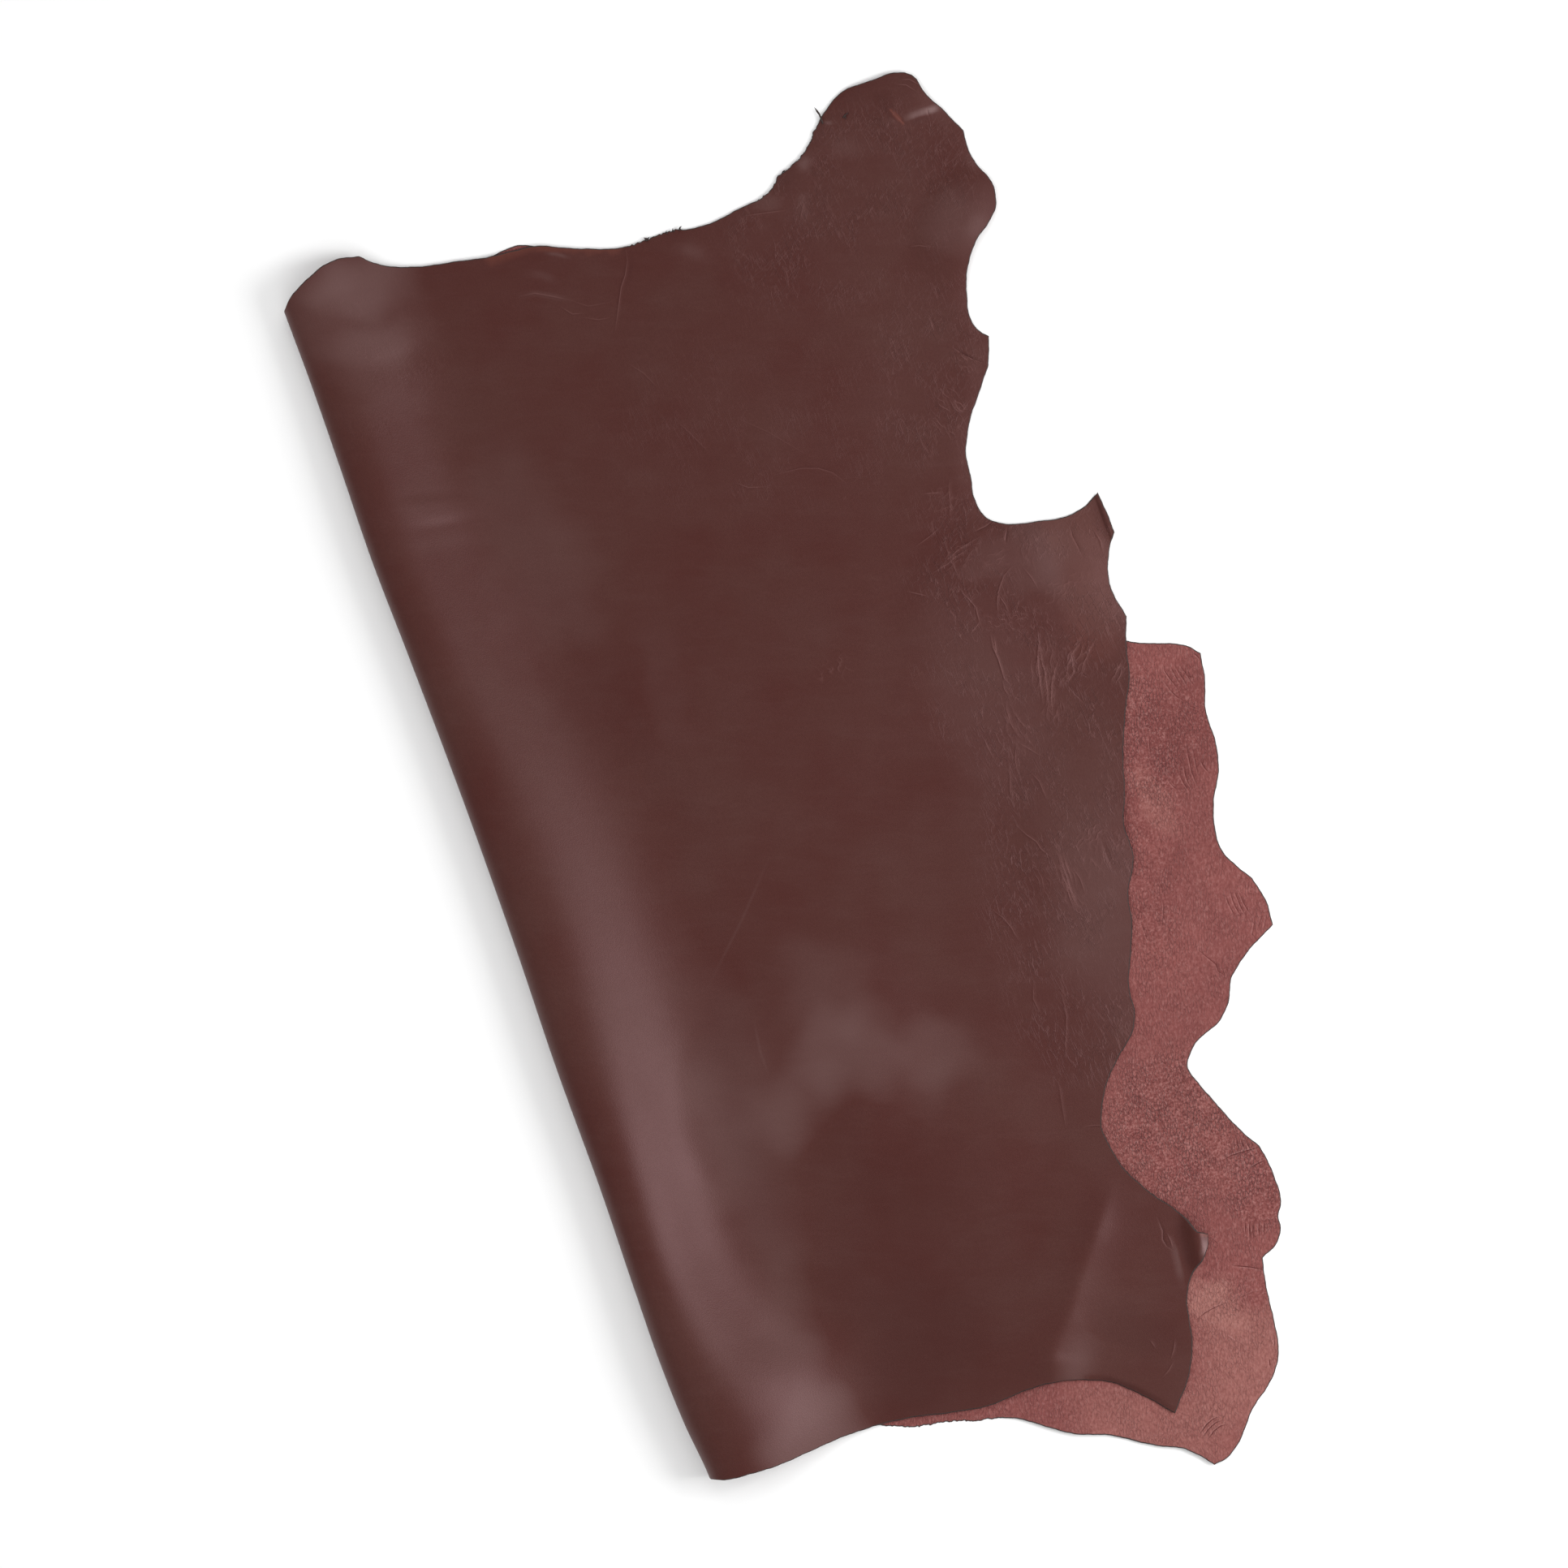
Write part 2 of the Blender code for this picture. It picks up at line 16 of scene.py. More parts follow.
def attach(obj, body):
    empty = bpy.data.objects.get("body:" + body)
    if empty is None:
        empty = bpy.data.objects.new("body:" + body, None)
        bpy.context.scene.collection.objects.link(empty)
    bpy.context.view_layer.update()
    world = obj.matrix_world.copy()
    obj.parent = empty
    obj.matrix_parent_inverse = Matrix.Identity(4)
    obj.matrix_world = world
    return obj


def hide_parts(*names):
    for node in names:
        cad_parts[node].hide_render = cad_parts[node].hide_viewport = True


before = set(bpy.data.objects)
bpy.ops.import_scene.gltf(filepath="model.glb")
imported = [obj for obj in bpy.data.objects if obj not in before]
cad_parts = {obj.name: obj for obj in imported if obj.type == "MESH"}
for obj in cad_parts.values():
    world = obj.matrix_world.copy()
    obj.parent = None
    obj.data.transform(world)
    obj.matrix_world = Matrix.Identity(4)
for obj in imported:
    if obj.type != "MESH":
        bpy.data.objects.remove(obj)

MM = 0.001

# sheet
THICKNESS = 1.6
LAYER_GAP = 1.4
EDGE_ROUND = 1.0
# middle of the folded hide's plan, which is the frame's origin
MIDDLE_ACROSS = 361.15
MIDDLE_ALONG = 546.77

# fold section, in sizes of the bend: it is tight at the edge of the fold and opens slowly above
# it, then the half above comes down at this angle and levels out in a length found by halving
BEND_START = 1.0
BEND_TIGHTENS = 1.3
BEND_OPENS = 5.0
BEND_REACH = 3.0
LEVELLING_OVERLAP = 1.5
LEAST_LEVELLING = 0.5
DESCENT_ANGLE = math.radians(29.5)
SECTION_STEPS = 2400
SECTION_REACH = 9.0
HALVINGS = 60
# step to each side in which the slope of the sheet is measured
NORMAL_STEP = 0.4

# the half above settles to the surface past the edge of the half below
SETTLE_START = 3.0
SETTLE_LENGTH = 30.0
# and its swells start over this stretch past the crest of the fold
CREST_BLEND = 1.5

# backbone fold: place along the hide, edge of the fold across, width and height of the
# loop, where the width is the height of an evenly scaled loop
FOLD_COLUMNS = ("along", "across", "width", "height")
FOLD = (
    (-10, -1, 50, 45),
    (0, -1, 52, 46),
    (60, -6, 57, 50),
    (120, -8, 46, 49),
    (200, -7, 37, 45),
    (300, -4.7, 38, 44),
    (430, -4.5, 46, 45),
    (550, -1.6, 51, 44),
    (700, -0.3, 49, 42),
    (860, -2, 40, 39),
    (960, -3.8, 37, 38),
    (1060, -1.8, 37, 36),
    (1150, -0.5, 40, 34),
    (1222, -1, 38, 31),
    (1260, -1, 37, 30),
)

# outline of the half above, from the neck end of the fold round to its rump end:
# across, along, and 1 where it has a corner
EDGE_ABOVE = (
    # neck end
    (-1, 1222), (6, 1229), (16, 1236), (36, 1245), (50, 1250.5), (62, 1252.5), (86, 1248, 1), (97, 1238),
    (112, 1228.5), (134, 1220), (165, 1213), (209, 1204), (232, 1201.5), (250, 1199.5), (272, 1190.5),
    (297, 1179.5), (335, 1167.5), (386, 1166), (395, 1163.5), (428, 1161), (455, 1164.5), (487, 1169.5),
    (502, 1181), (530, 1192), (548, 1209), (566, 1225.5),
    # fore shank
    (583, 1236), (620, 1238.5), (647, 1236.5), (659, 1230), (662, 1222, 1), (667, 1203), (674, 1191),
    (688, 1161, 1), (686, 1145), (688, 1129), (697, 1098), (693, 1081), (679, 1066), (661, 1053),
    (646, 1033), (635, 1006), (631, 985), (637, 967), (642, 962, 1), (632, 935, 1),
    # belly
    (613, 912), (594, 887), (581, 860), (578, 840), (574, 814), (578, 795), (584, 789), (598, 781),
    (630, 773), (652, 769), (670, 771), (690, 781, 1), (691.5, 757), (692, 738, 1), (683, 726),
    (674, 708), (670, 682), (675, 656, 1), (666, 634), (657, 599), (646, 577), (631, 545), (610, 485),
    (602, 465), (600, 431), (583, 400), (576, 370), (551, 308), (548, 286), (541, 271), (517, 250),
    (500, 232), (486, 210), (479, 190), (480, 172), (485, 148), (500, 118), (521, 88), (527, 78),
    (532, 63, 1), (541, 57, 1), (538, 48), (530, 37), (512, 24),
    # rump end
    (501, 6), (495, -17), (489, -42), (474, -70), (450, -98, 1), (438, -84), (420, -64), (400, -47),
    (376, -36), (345, -28), (270, -27), (238, -20.5), (200, -12), (170, -8.5), (120, -7.5), (80, -9.5),
    (40, -8), (12, -4.5), (-1, 0),
)

# outline of the half below, from the rump end of the fold round to its neck end, as above
EDGE_BELOW = (
    # rump end
    (-1, 0), (20, -3), (60, -4), (110, -3), (150, -4.5), (172, -9.5), (197, -20), (250, -33), (262, -38),
    (279, -40.5), (300, -49), (350, -83), (380, -95.5), (430, -126), (444, -132), (458, -145),
    (469, -159, 1), (482, -157), (497, -149), (522, -122), (548, -102), (560, -90), (567, -76),
    (573, -50), (577, -15), (584, 16, 1), (603, 26), (611, 38), (613, 50), (619, 60), (622.5, 88),
    (619, 121, 1),
    # belly
    (607, 141), (597, 165), (583, 202), (579, 219), (585, 229), (594, 237), (624, 250), (640, 266),
    (650, 286), (660, 295), (680, 308), (706, 321, 1), (708, 340), (703, 371, 1), (691, 390), (684, 408),
    (684, 425), (693, 455), (708, 483), (714.5, 506), (716, 540), (726, 571), (731, 597, 1), (722, 607),
    (705, 617), (685, 624), (666, 634), (650, 652), (646, 682), (655, 720), (652, 748), (600, 757),
    (562, 784), (557, 820), (566, 872), (596, 920), (612, 960), (614, 1010),
    # fore shank and neck end
    (636, 1052), (666, 1082), (670, 1120), (664, 1165), (646, 1205), (615, 1219), (580, 1211),
    (552, 1187), (515, 1168), (470, 1148), (415, 1143), (345, 1148), (300, 1164), (266, 1184),
    (250, 1199.8), (241, 1204), (228, 1205.8), (212, 1204.6), (190, 1201), (150, 1207), (112, 1219),
    (78, 1236), (42, 1233), (12, 1226), (-1, 1222),
)

# soft swells in ovals: middle across and along, half lengths across and along, turn in
# degrees, rise
SWELLS_ABOVE = (
    (672, 1064, 82, 68, 25, 7),
    (640, 1225, 60, 36, -5, 3),
    (225, 345, 150, 120, 30, 5),
    (330, 255, 130, 110, -15, 4),
    (330, 700, 190, 150, 10, 3),
    (560, 715, 110, 90, 0, 4),
    (420, 1010, 160, 120, -20, 3),
    (560, 480, 70, 110, -20, 3),
)
SWELLS_BELOW = (
    (345, -92, 95, 34, -33, 4),
    (450, -150, 80, 36, -30, 4),
    (700, 470, 40, 80, 0, 2.5),
    (590, 200, 40, 60, 15, 2),
)

# creases of the half above: bent line, rise, rounding of the top, width of the fall to its
# inner and its outer side, share of the rise at its start, length in which the start rises
CREASES = (
    # rump
    (((486, 151), (468, 136), (445, 106), (412, 66), (382, 26), (358, 2), (347, -28)),
     9, 5, 62, 30, 0, 85),
    # fore shank
    (((606, 1197), (636, 1193), (676, 1190)), 3.5, 4, 14, 30, 0.35, 40),
)
# how far a crease reaches in widths of its fall, and its end
CREASE_REACH = 4
CREASE_END_TAPER = 40
CREASE_END = 0.35

# waves at the free edge: valley line, height, lengths of the climb and of the fall past it,
# share of the height that the fall gives back, length of the tapered ends
WAVES = (
    (((521.5, 94), (510, 17)), 7.5, 15, 14, 0.8, 12),
    (((685, 788), (685.3, 728)), 1.9, 3.6, 6, 0.2, 6),
    (((452, -92), (441, -79), (422, -59), (402, -42), (379, -31), (346, -23)), -1, 4.5, 6, 0, 14),
)

# soft unevenness of the half above, under the sheen: same columns as the swells
SOFTNESS = (
    (60, 990, 90, 16, -12, 1.2),
    (75, 1165, 60, 26, 0, 1),
    (660, 700, 34, 70, 0, 2),
)

# fine marks of the grain side: bent line, height of a lip or depth of a groove, half width
MARKS = (
    # neck end
    (((222, 1157), (236, 1155), (250, 1147), (266, 1137)), 0.35, 1.8),
    (((266, 1137), (281, 1125), (303, 1121)), 0.25, 2.2),
    (((256, 1133), (264, 1123), (274, 1120)), 0.3, 1.6),
    (((275, 1115), (286, 1109), (297, 1107)), 0.25, 1.5),
    (((335, 1164), (333, 1154), (326, 1141), (318, 1131), (307, 1110), (298, 1093)), 0.4, 1.5),
    (((300, 1057), (310, 1044), (317, 1028)), 0.2, 1.5),
    (((324, 990), (333, 972), (343, 950)), 0.3, 2.4),
    (((358, 912), (368, 903), (384, 898)), 0.35, 1.8),
    (((455, 1156), (478, 1151), (496, 1147)), 0.35, 1.8),
    (((506, 1132), (512, 1142), (518, 1151)), 0.3, 1.5),
    (((600, 1071), (608, 1069), (617, 1064)), 0.3, 1.5),
    # fore shank
    (((662, 1193), (661.5, 1189), (661, 1185)), -0.4, 1),
    (((646, 1229), (655, 1226), (662, 1218)), 0.3, 1.2),
    (((641, 1226), (650, 1222), (657, 1213)), 0.3, 1.2),
    (((627, 1206), (631, 1197), (636, 1187)), -0.5, 1),
    # belly behind the fore shank
    (((606, 963), (612, 955), (618, 948), (626, 941)), -0.7, 1.2),
    (((398, 907), (424, 904), (440, 898), (452, 889), (461, 875)), -0.35, 1.6),
    (((380, 972), (405, 948), (432, 915)), 0.5, 6),
    (((557, 842), (552, 830), (548, 815), (545, 806)), 0.35, 1.6),
    (((528, 838), (536, 836), (545, 833)), 0.3, 1.1),
    (((534, 796), (531, 780), (531, 765), (533, 745)), 0.25, 1.4),
    (((584, 789), (574, 786), (562, 785)), -0.45, 1.1),
    (((565, 779), (548, 776), (538, 773), (528, 769), (518, 764)), 0.4, 1.2),
    (((552, 772), (538, 769), (527, 765), (508, 761)), 0.3, 1.1),
    (((504, 792), (518, 796), (534, 802)), 0.25, 1.2),
    (((480, 753), (488, 748), (497, 742)), 0.3, 1.2),
    (((594, 777), (590, 770), (588, 765)), -0.6, 1.1),
    (((653.5, 758), (652, 749), (653.2, 740), (654.6, 728)), -0.5, 1.2),
    (((674, 746), (676, 734), (674.7, 725)), 0.5, 1.4),
    # long lips of the belly
    (((584, 740), (575, 735), (568, 727), (563, 720), (559, 711), (556, 700)), 0.4, 1.2),
    (((563, 720), (566, 709), (567, 698)), 0.35, 1.1),
    (((596, 735), (600, 723), (602, 711)), 0.25, 1),
    (((529, 741), (531, 732), (535, 724), (538, 715), (537, 706), (536.5, 694)), 0.4, 1.2),
    (((525, 693), (530, 696), (536, 700)), 0.35, 1),
    (((542.5, 684), (540.5, 672), (541.5, 660), (541, 650), (540.5, 640), (544, 631)), 0.55, 1.2),
    (((545, 681), (543, 672), (541, 664)), 0.4, 1),
    (((538, 637), (537, 630), (539, 622)), 0.3, 1),
    (((538, 606), (540, 596), (545, 585)), 0.35, 1.1),
    (((533, 612), (531, 598), (533, 584)), 0.3, 1.1),
    (((588, 668), (579, 650), (575, 636), (571, 618), (568, 604)), 0.5, 1.1),
    (((586, 662), (581, 646), (580, 630), (576, 614), (570, 600)), 0.45, 1.1),
    (((598, 640), (590, 630), (583, 620), (577, 605), (573, 590)), 0.45, 1.1),
    (((597, 615), (601, 602), (607, 590)), -0.4, 1.1),
    (((608, 624), (613, 619), (619, 613)), -0.35, 1),
    (((625, 650), (612, 640), (603, 630), (598, 618)), 0.45, 1.1),
    (((640, 647), (628, 636), (618, 626), (612, 616)), 0.4, 1.1),
    (((655, 616), (649, 611), (641, 602)), 0.45, 1.2),
    (((530, 576), (523, 561), (521, 548)), 0.3, 1.2),
    (((532, 576), (540, 566), (547, 557)), 0.25, 1.1),
    (((516, 560), (513, 548), (508, 534), (506, 520)), 0.35, 1.4),
    (((533, 545), (538, 533), (539, 514)), 0.35, 1.5),
    (((502, 500), (508, 488), (515, 478), (517, 469), (524, 458)), 0.35, 1.3),
    # flank
    (((533, 462), (531, 445), (531, 430), (530, 415), (529, 399)), 0.45, 1.1),
    (((527, 448), (528, 432), (527, 416), (527, 402)), 0.35, 1),
    (((535, 458), (535, 440), (534, 426)), 0.35, 1),
    (((540, 441), (543, 429), (543, 415)), 0.3, 1.1),
    (((576, 456), (576, 442), (577, 428)), -0.6, 2.4),
    (((452, 429), (459, 418), (463, 406), (465, 394)), 0.35, 1.3),
    (((464, 347), (459, 333), (461, 318)), 0.25, 1.4),
    (((488, 332), (484, 306), (476, 286), (469, 268)), 0.3, 1.4),
    (((455, 250), (450, 226), (446, 204)), 0.25, 1.6),
    (((464, 197), (472, 195), (480, 192)), -0.4, 1.2),
    # rump
    (((500.5, 89), (501, 75), (498, 67), (499.5, 60), (504, 54)), -0.4, 1.1),
    (((503.7, 71), (504.6, 63), (503.8, 55)), 0.35, 1),
    (((452, -22), (454, -30)), 0.3, 1.2),
    (((475, -30), (471, -38), (465, -46)), 0.35, 1.2),
    (((452, -60), (459, -56), (466, -50)), 0.3, 1.2),
)

# patches of wrinkles: oval as above, the way that they run in degrees from along the hide,
# space between them, length, height, half width, seed
WRINKLES_ABOVE = (
    (580, 634, 13, 34, -16, 19, 3.6, 24, 0.35, 1.1, 11),
    (612, 632, 24, 13, 45, 40, 3.7, 18, 0.42, 1.1, 12),
    (649, 608, 10, 8, 40, 42, 3.4, 12, 0.4, 1, 13),
    (578, 592, 14, 18, -10, 18, 3.8, 18, 0.3, 1.1, 14),
    (585, 914, 11, 15, 20, -26, 3.4, 18, 0.4, 1, 15),
    (568, 893, 10, 14, 20, -28, 3.6, 16, 0.3, 1, 16),
    (612, 944, 10, 16, 20, -20, 3.8, 10, 0.25, 1, 17),
    (568, 466, 18, 11, 30, 46, 3.5, 14, 0.35, 1, 18),
    (590, 452, 9, 9, 0, 30, 3.3, 9, 0.35, 1, 19),
    (531, 430, 9, 30, 0, 2, 3.6, 22, 0.3, 1, 20),
    (508, 440, 9, 18, 0, -6, 4, 14, 0.2, 1.1, 21),
    (605, 750, 13, 17, -15, 20, 4.2, 18, 0.2, 1.1, 22),
    (535, 592, 12, 30, 5, -4, 4.2, 18, 0.22, 1.1, 23),
    (565, 693, 30, 10, -4, -50, 4, 8, 0.25, 1, 24),
    (628, 704, 32, 11, 6, 55, 3.8, 8, 0.22, 1, 25),
    (540, 768, 24, 10, 8, 76, 4, 16, 0.25, 1.1, 26),
    (575, 752, 12, 9, 0, 80, 3.6, 10, 0.28, 1, 27),
    (386, 707, 16, 10, 0, 12, 5, 10, 0.25, 1.2, 28),
    (545, 820, 22, 22, 0, 60, 4.6, 12, 0.16, 1.1, 29),
    (562, 440, 14, 16, 0, 12, 3.8, 12, 0.2, 1, 30),
)
# grooves of the flesh side, read as above
MARKS_BELOW = (
    # corner behind the fore shank
    (((702.8, 594), (704.5, 585), (706.5, 577), (708.2, 570)), -0.4, 1.2),
    (((698.4, 595.7), (699.3, 588.3), (700.9, 579.2), (703, 571.3)), -0.35, 1.2),
    (((693.9, 600.9), (691.6, 592.5), (693.7, 584.6), (697.9, 571)), -0.4, 1.2),
    (((707.4, 593.1), (710.7, 582.7), (712.2, 575), (714.5, 567.8)), -0.45, 1.2),
    (((687.1, 584.2), (690.2, 573.1), (694.2, 564.6), (699.1, 558.6)), -0.35, 1.2),
    (((709.2, 582.5), (713, 579), (716.9, 576.2)), -0.4, 1.1),
    (((724.5, 599), (727, 595), (728, 591)), -0.6, 1.2),
    (((701.4, 553.4), (705, 550), (708.8, 546.5)), -0.3, 1.2),
    # wavy belly edge
    (((687.4, 518.8), (685.4, 509.6), (683.7, 498.9), (682.3, 489.4), (682.7, 480.8),
      (683.6, 473.4)), -0.5, 1.3),
    (((677.6, 499.7), (675.6, 490.5), (675.4, 482), (676.6, 473.8)), -0.45, 1.3),
    (((670, 492.5), (671.2, 482.2), (673.8, 472)), -0.4, 1.2),
    (((691.8, 517.2), (690.6, 506.3), (688.5, 492.9), (687.6, 480.4)), -0.4, 1.3),
    (((694.4, 499.2), (695.4, 490.3), (698.4, 482.9)), -0.5, 1.3),
    (((705, 501), (704.5, 496), (703.7, 491.6)), -0.3, 1.3),
    (((655.2, 537.7), (653, 530), (650.6, 522.3)), -0.4, 1.2),
    (((657.3, 490.8), (660, 484), (663.2, 478)), -0.35, 1.2),
    # point of the flank
    (((672.2, 365.1), (672, 356.6), (673, 347.8), (674.3, 339.6)), -0.45, 1.2),
    (((677.8, 366.4), (677, 356.5), (677.6, 348.6), (679.5, 340)), -0.5, 1.2),
    (((681.6, 366.7), (682.1, 356.4), (682.3, 347.8), (683.6, 339.6)), -0.5, 1.2),
    (((685.8, 361.8), (686.2, 351.4), (687.5, 343.3), (689.3, 337.6)), -0.45, 1.2),
    (((691.8, 334.1), (688.3, 326.9), (683.8, 319.2), (685.6, 312.5)), -0.4, 1.3),
    (((699.6, 334.6), (694.6, 328), (690.4, 321)), -0.35, 1.2),
    (((704.1, 333), (699, 324.7), (696.2, 320.6)), -0.35, 1.2),
    (((628.3, 323.3), (634.6, 312.5), (639.9, 303.7), (639.7, 296.2), (645.1, 289.9)), -0.45, 1.2),
    (((612.6, 381.7), (609.7, 370.9), (606.5, 363.6)), -0.35, 1.2),
    (((584.6, 366.4), (585, 358), (584.4, 349.5)), -0.35, 1.2),
    # hind belly
    (((580.1, 119.9), (590, 121.5), (600, 121), (617.6, 119.9)), -0.75, 1.3),
    (((601.5, 103.4), (611, 105), (620.5, 106.1)), -0.6, 1.2),
    (((600, 135.7), (598.6, 130), (598.6, 123.9)), -0.6, 1.1),
    (((604.2, 134.2), (603.5, 129), (603.7, 124)), -0.6, 1.1),
    (((608.6, 130.7), (608.2, 126.5), (608.6, 122.7)), -0.6, 1.1),
    (((596.1, 135.2), (595.4, 130), (595.4, 125.6)), -0.35, 1.1),
    (((580.3, 55.8), (578, 50), (576.5, 43.9)), -0.4, 1.1),
    (((583.7, 54.6), (581, 46), (579, 38.3)), -0.7, 1.2),
    (((587.3, 53.2), (584, 45), (581.9, 36.3)), -0.6, 1.1),
    (((592.8, 51.2), (590, 44), (588, 37.8)), -0.65, 1.1),
    (((597.6, 48.5), (595, 43), (593.2, 37.8)), -0.6, 1.2),
    # thigh
    (((553.7, 19.1), (563.4, 14.6), (571.4, 10.7), (580.5, 4.5)), -0.7, 1.3),
    (((501.6, -18.8), (511.3, -15.5), (522.2, -13.6), (532.6, -13.1)), -0.4, 1.1),
    (((545, -13), (563.4, -12.5), (576.2, -14.6)), -0.25, 1.6),
    (((525.6, -43.7), (528, -47), (530, -50.4)), 0.35, 1.2),
    (((511.6, -75.1), (516, -87), (519.9, -98.9)), -0.2, 1.3),
    (((555.7, -80), (555, -83), (554.1, -87)), -0.7, 1.2),
    (((567, -62), (566, -67), (564, -71)), -0.4, 1.2),
    (((467, -125.2), (475, -119.6), (482.9, -116.5), (488.2, -115.9)), -0.7, 1.2),
    (((468.1, -129), (476.9, -123.7), (484.8, -120.6), (491.6, -120.6)), -0.6, 1.2),
    (((471.5, -133.6), (480.5, -127.6), (488.2, -125.3), (494.7, -125.9)), -0.6, 1.2),
)

# soft streaks: bent line, half width, paler tone above zero and deeper below; many are painted
# highlights and painted shade
STREAKS_ABOVE = (
    # neck end of the fold and the gloss band down it: painted highlights, then streaks near the neck
    # edge
    (((24, 1177), (70, 1163), (120, 1147)), 13, 0.09),
    (((30, 1105), (80, 1103), (129, 1099)), 15, 0.07),
    (((22, 996), (66, 992), (112, 990)), 14, 0.08),
    (((116, 420), (118, 320), (112, 225)), 24, 0.22),
    (((140, 240), (134, 140), (132, 50)), 28, 0.16),
    (((20, 962), (60, 956), (100, 946)), 8, 0.06),
    (((259.5, 1188.5), (270, 1183.5), (280, 1176)), 1.6, 0.24),
    (((222, 1157), (236, 1155), (250, 1147), (266, 1137)), 2.4, 0.13),
    (((236, 1176), (248, 1170), (261, 1158.5)), 3.6, 0.12),
    (((338, 1160), (337, 1153), (330, 1141), (323, 1129)), 3, -0.20),
    (((385, 1150), (397, 1140), (408, 1130)), 6, 0.14),
    # scratches over the loin
    (((262, 553), (217, 506), (187, 478), (163, 455)), 1.1, 0.09),
    (((193, 407), (188.6, 377), (188.5, 353)), 1.1, 0.10),
    # fore shank: painted highlight along the crease with painted shade under it, a dark smudge, the
    # scar's dark edges, and painted highlights near the lobe's edges
    (((638, 1190.6), (646, 1191), (655, 1191.2), (664, 1191)), 3.2, 0.60),
    (((657, 1190.6), (666, 1190.6), (674, 1191.2)), 2.8, 0.95),
    (((614, 1198), (622, 1195), (631, 1192)), 3, 0.08),
    (((637, 1185.5), (651, 1186), (664, 1185)), 2.4, -0.35),
    (((581, 1213.5), (584.5, 1214.5), (588.5, 1216.5)), 1.2, -1.6),
    (((582.6, 1211), (583.8, 1214), (583.6, 1216.5)), 1, -1.4),
    (((625.5, 1203.5), (630.5, 1196), (635, 1187.5)), 2.2, -0.45),
    (((523, 1179), (530, 1185), (537, 1188)), 5, 0.34),
    (((561, 1216), (565, 1213.5), (570, 1211.5)), 1.6, 0.30),
    (((556, 1196), (572, 1184), (592, 1178)), 9, 0.09),
    (((656, 1056), (667, 1067), (680, 1078)), 8, 0.20),
    (((685, 1140), (685.5, 1130), (688, 1120)), 5, 0.14),
    # tip behind the fore shank, with painted shade in its crease
    (((687, 780), (686, 757), (685, 735)), 1.8, -0.40),
    (((520, 1162), (514, 1146), (509, 1130)), 5, 0.12),
    (((541, 1160), (537, 1146), (532, 1130)), 6, -0.14),
    # rump: painted highlight along the ridge, painted shade in the pleat's valley and along the rolled
    # edge, and painted highlights on the pleat's slope and rim
    (((350, -74), (366, -38), (378, -16), (398, 14)), 14, 0.28),
    (((520, 88), (515.5, 62), (512.5, 38), (509, 20)), 4.2, -0.60),
    (((507, 64), (504.5, 42), (501, 18)), 4, 0.26),
    (((538, 55), (534, 45), (529, 36)), 3.4, 0.75),
    (((447, -92), (438.5, -80), (420.5, -60), (400, -43.5), (380, -35)), 2.6, -0.55),
    (((521.5, 90), (528, 77), (532, 64)), 1.5, 0.45),
)
STREAKS_BELOW = (
    # painted highlight on the flesh below the pleat; the fourth row is painted shade beside the edge of
    # the half above
    (((505, -7), (522, -1), (544, 5)), 6, 0.95),
    (((524, 8), (530, -3), (536, -12)), 4, 0.45),
    (((536, -20), (552, -20), (574, -22)), 9, -0.50),
    (((519, 24), (524, 19), (530, 15)), 2.6, -0.70),
    (((500, 176), (512, 168), (522, 150)), 7, -0.25),
    (((516, 134), (540, 128), (560, 112)), 8, -0.20),
    (((690, 318), (678, 306), (668, 300)), 7, -0.35),
)

# the cut edge: lengths and sizes of its waver
EDGE_WAVER = ((46, 0.22), (19, 0.16), (8, 0.1))
# blend of a torn edge's jags with the next ones, length of the edge's even ends at the fold, and
# the seeds of the halves
JAG_BLEND = (0.3, 0.7, 0.3)
CALM_LENGTH = 20.0
SEED_ABOVE = 3
SEED_BELOW = 4
# torn places: across, along, reach, size; each step of the edge there is split in parts
TORN_PARTS = 3
TORN_ABOVE = (
    (366, 1166, 34, 0.8),
    (525, 1190, 44, 0.6),
    (486, 1169, 24, 0.5),
)
TORN_BELOW = (
    (196, -20, 34, 0.7),
    (232, -30, 34, 0.8),
    (268, -38, 26, 0.7),
)
# nicks and bumps: across, along, reach, how far out
NICKS_ABOVE = (
    (342.5, 1167, 1.2, 0.9),
    (348.3, 1166.5, 1.4, 1.1),
    (357.6, 1166.5, 1.8, 2.2),
    (363.6, 1165.5, 1.3, 1.3),
    (378.4, 1166, 1.5, 1.2),
    (387.8, 1165.2, 2, 1.6),
    (392.2, 1165, 1.3, 1.2),
    (480, 1169, 3, 0.8),
    (501, 1180, 3, 1.2),
    (520.5, 1188, 1.8, 0.9),
    (529.4, 1192.3, 2, 1.1),
    (549.3, 1209.5, 2, 1),
    (656, 1232, 2, -1),
    (662, 1224, 2.2, 1),
)
NICKS_BELOW = (
    (178, -13, 2.6, 1.6),
    (279, -41, 2.6, 1.4),
    (557, -90, 2.4, -1.2),
)

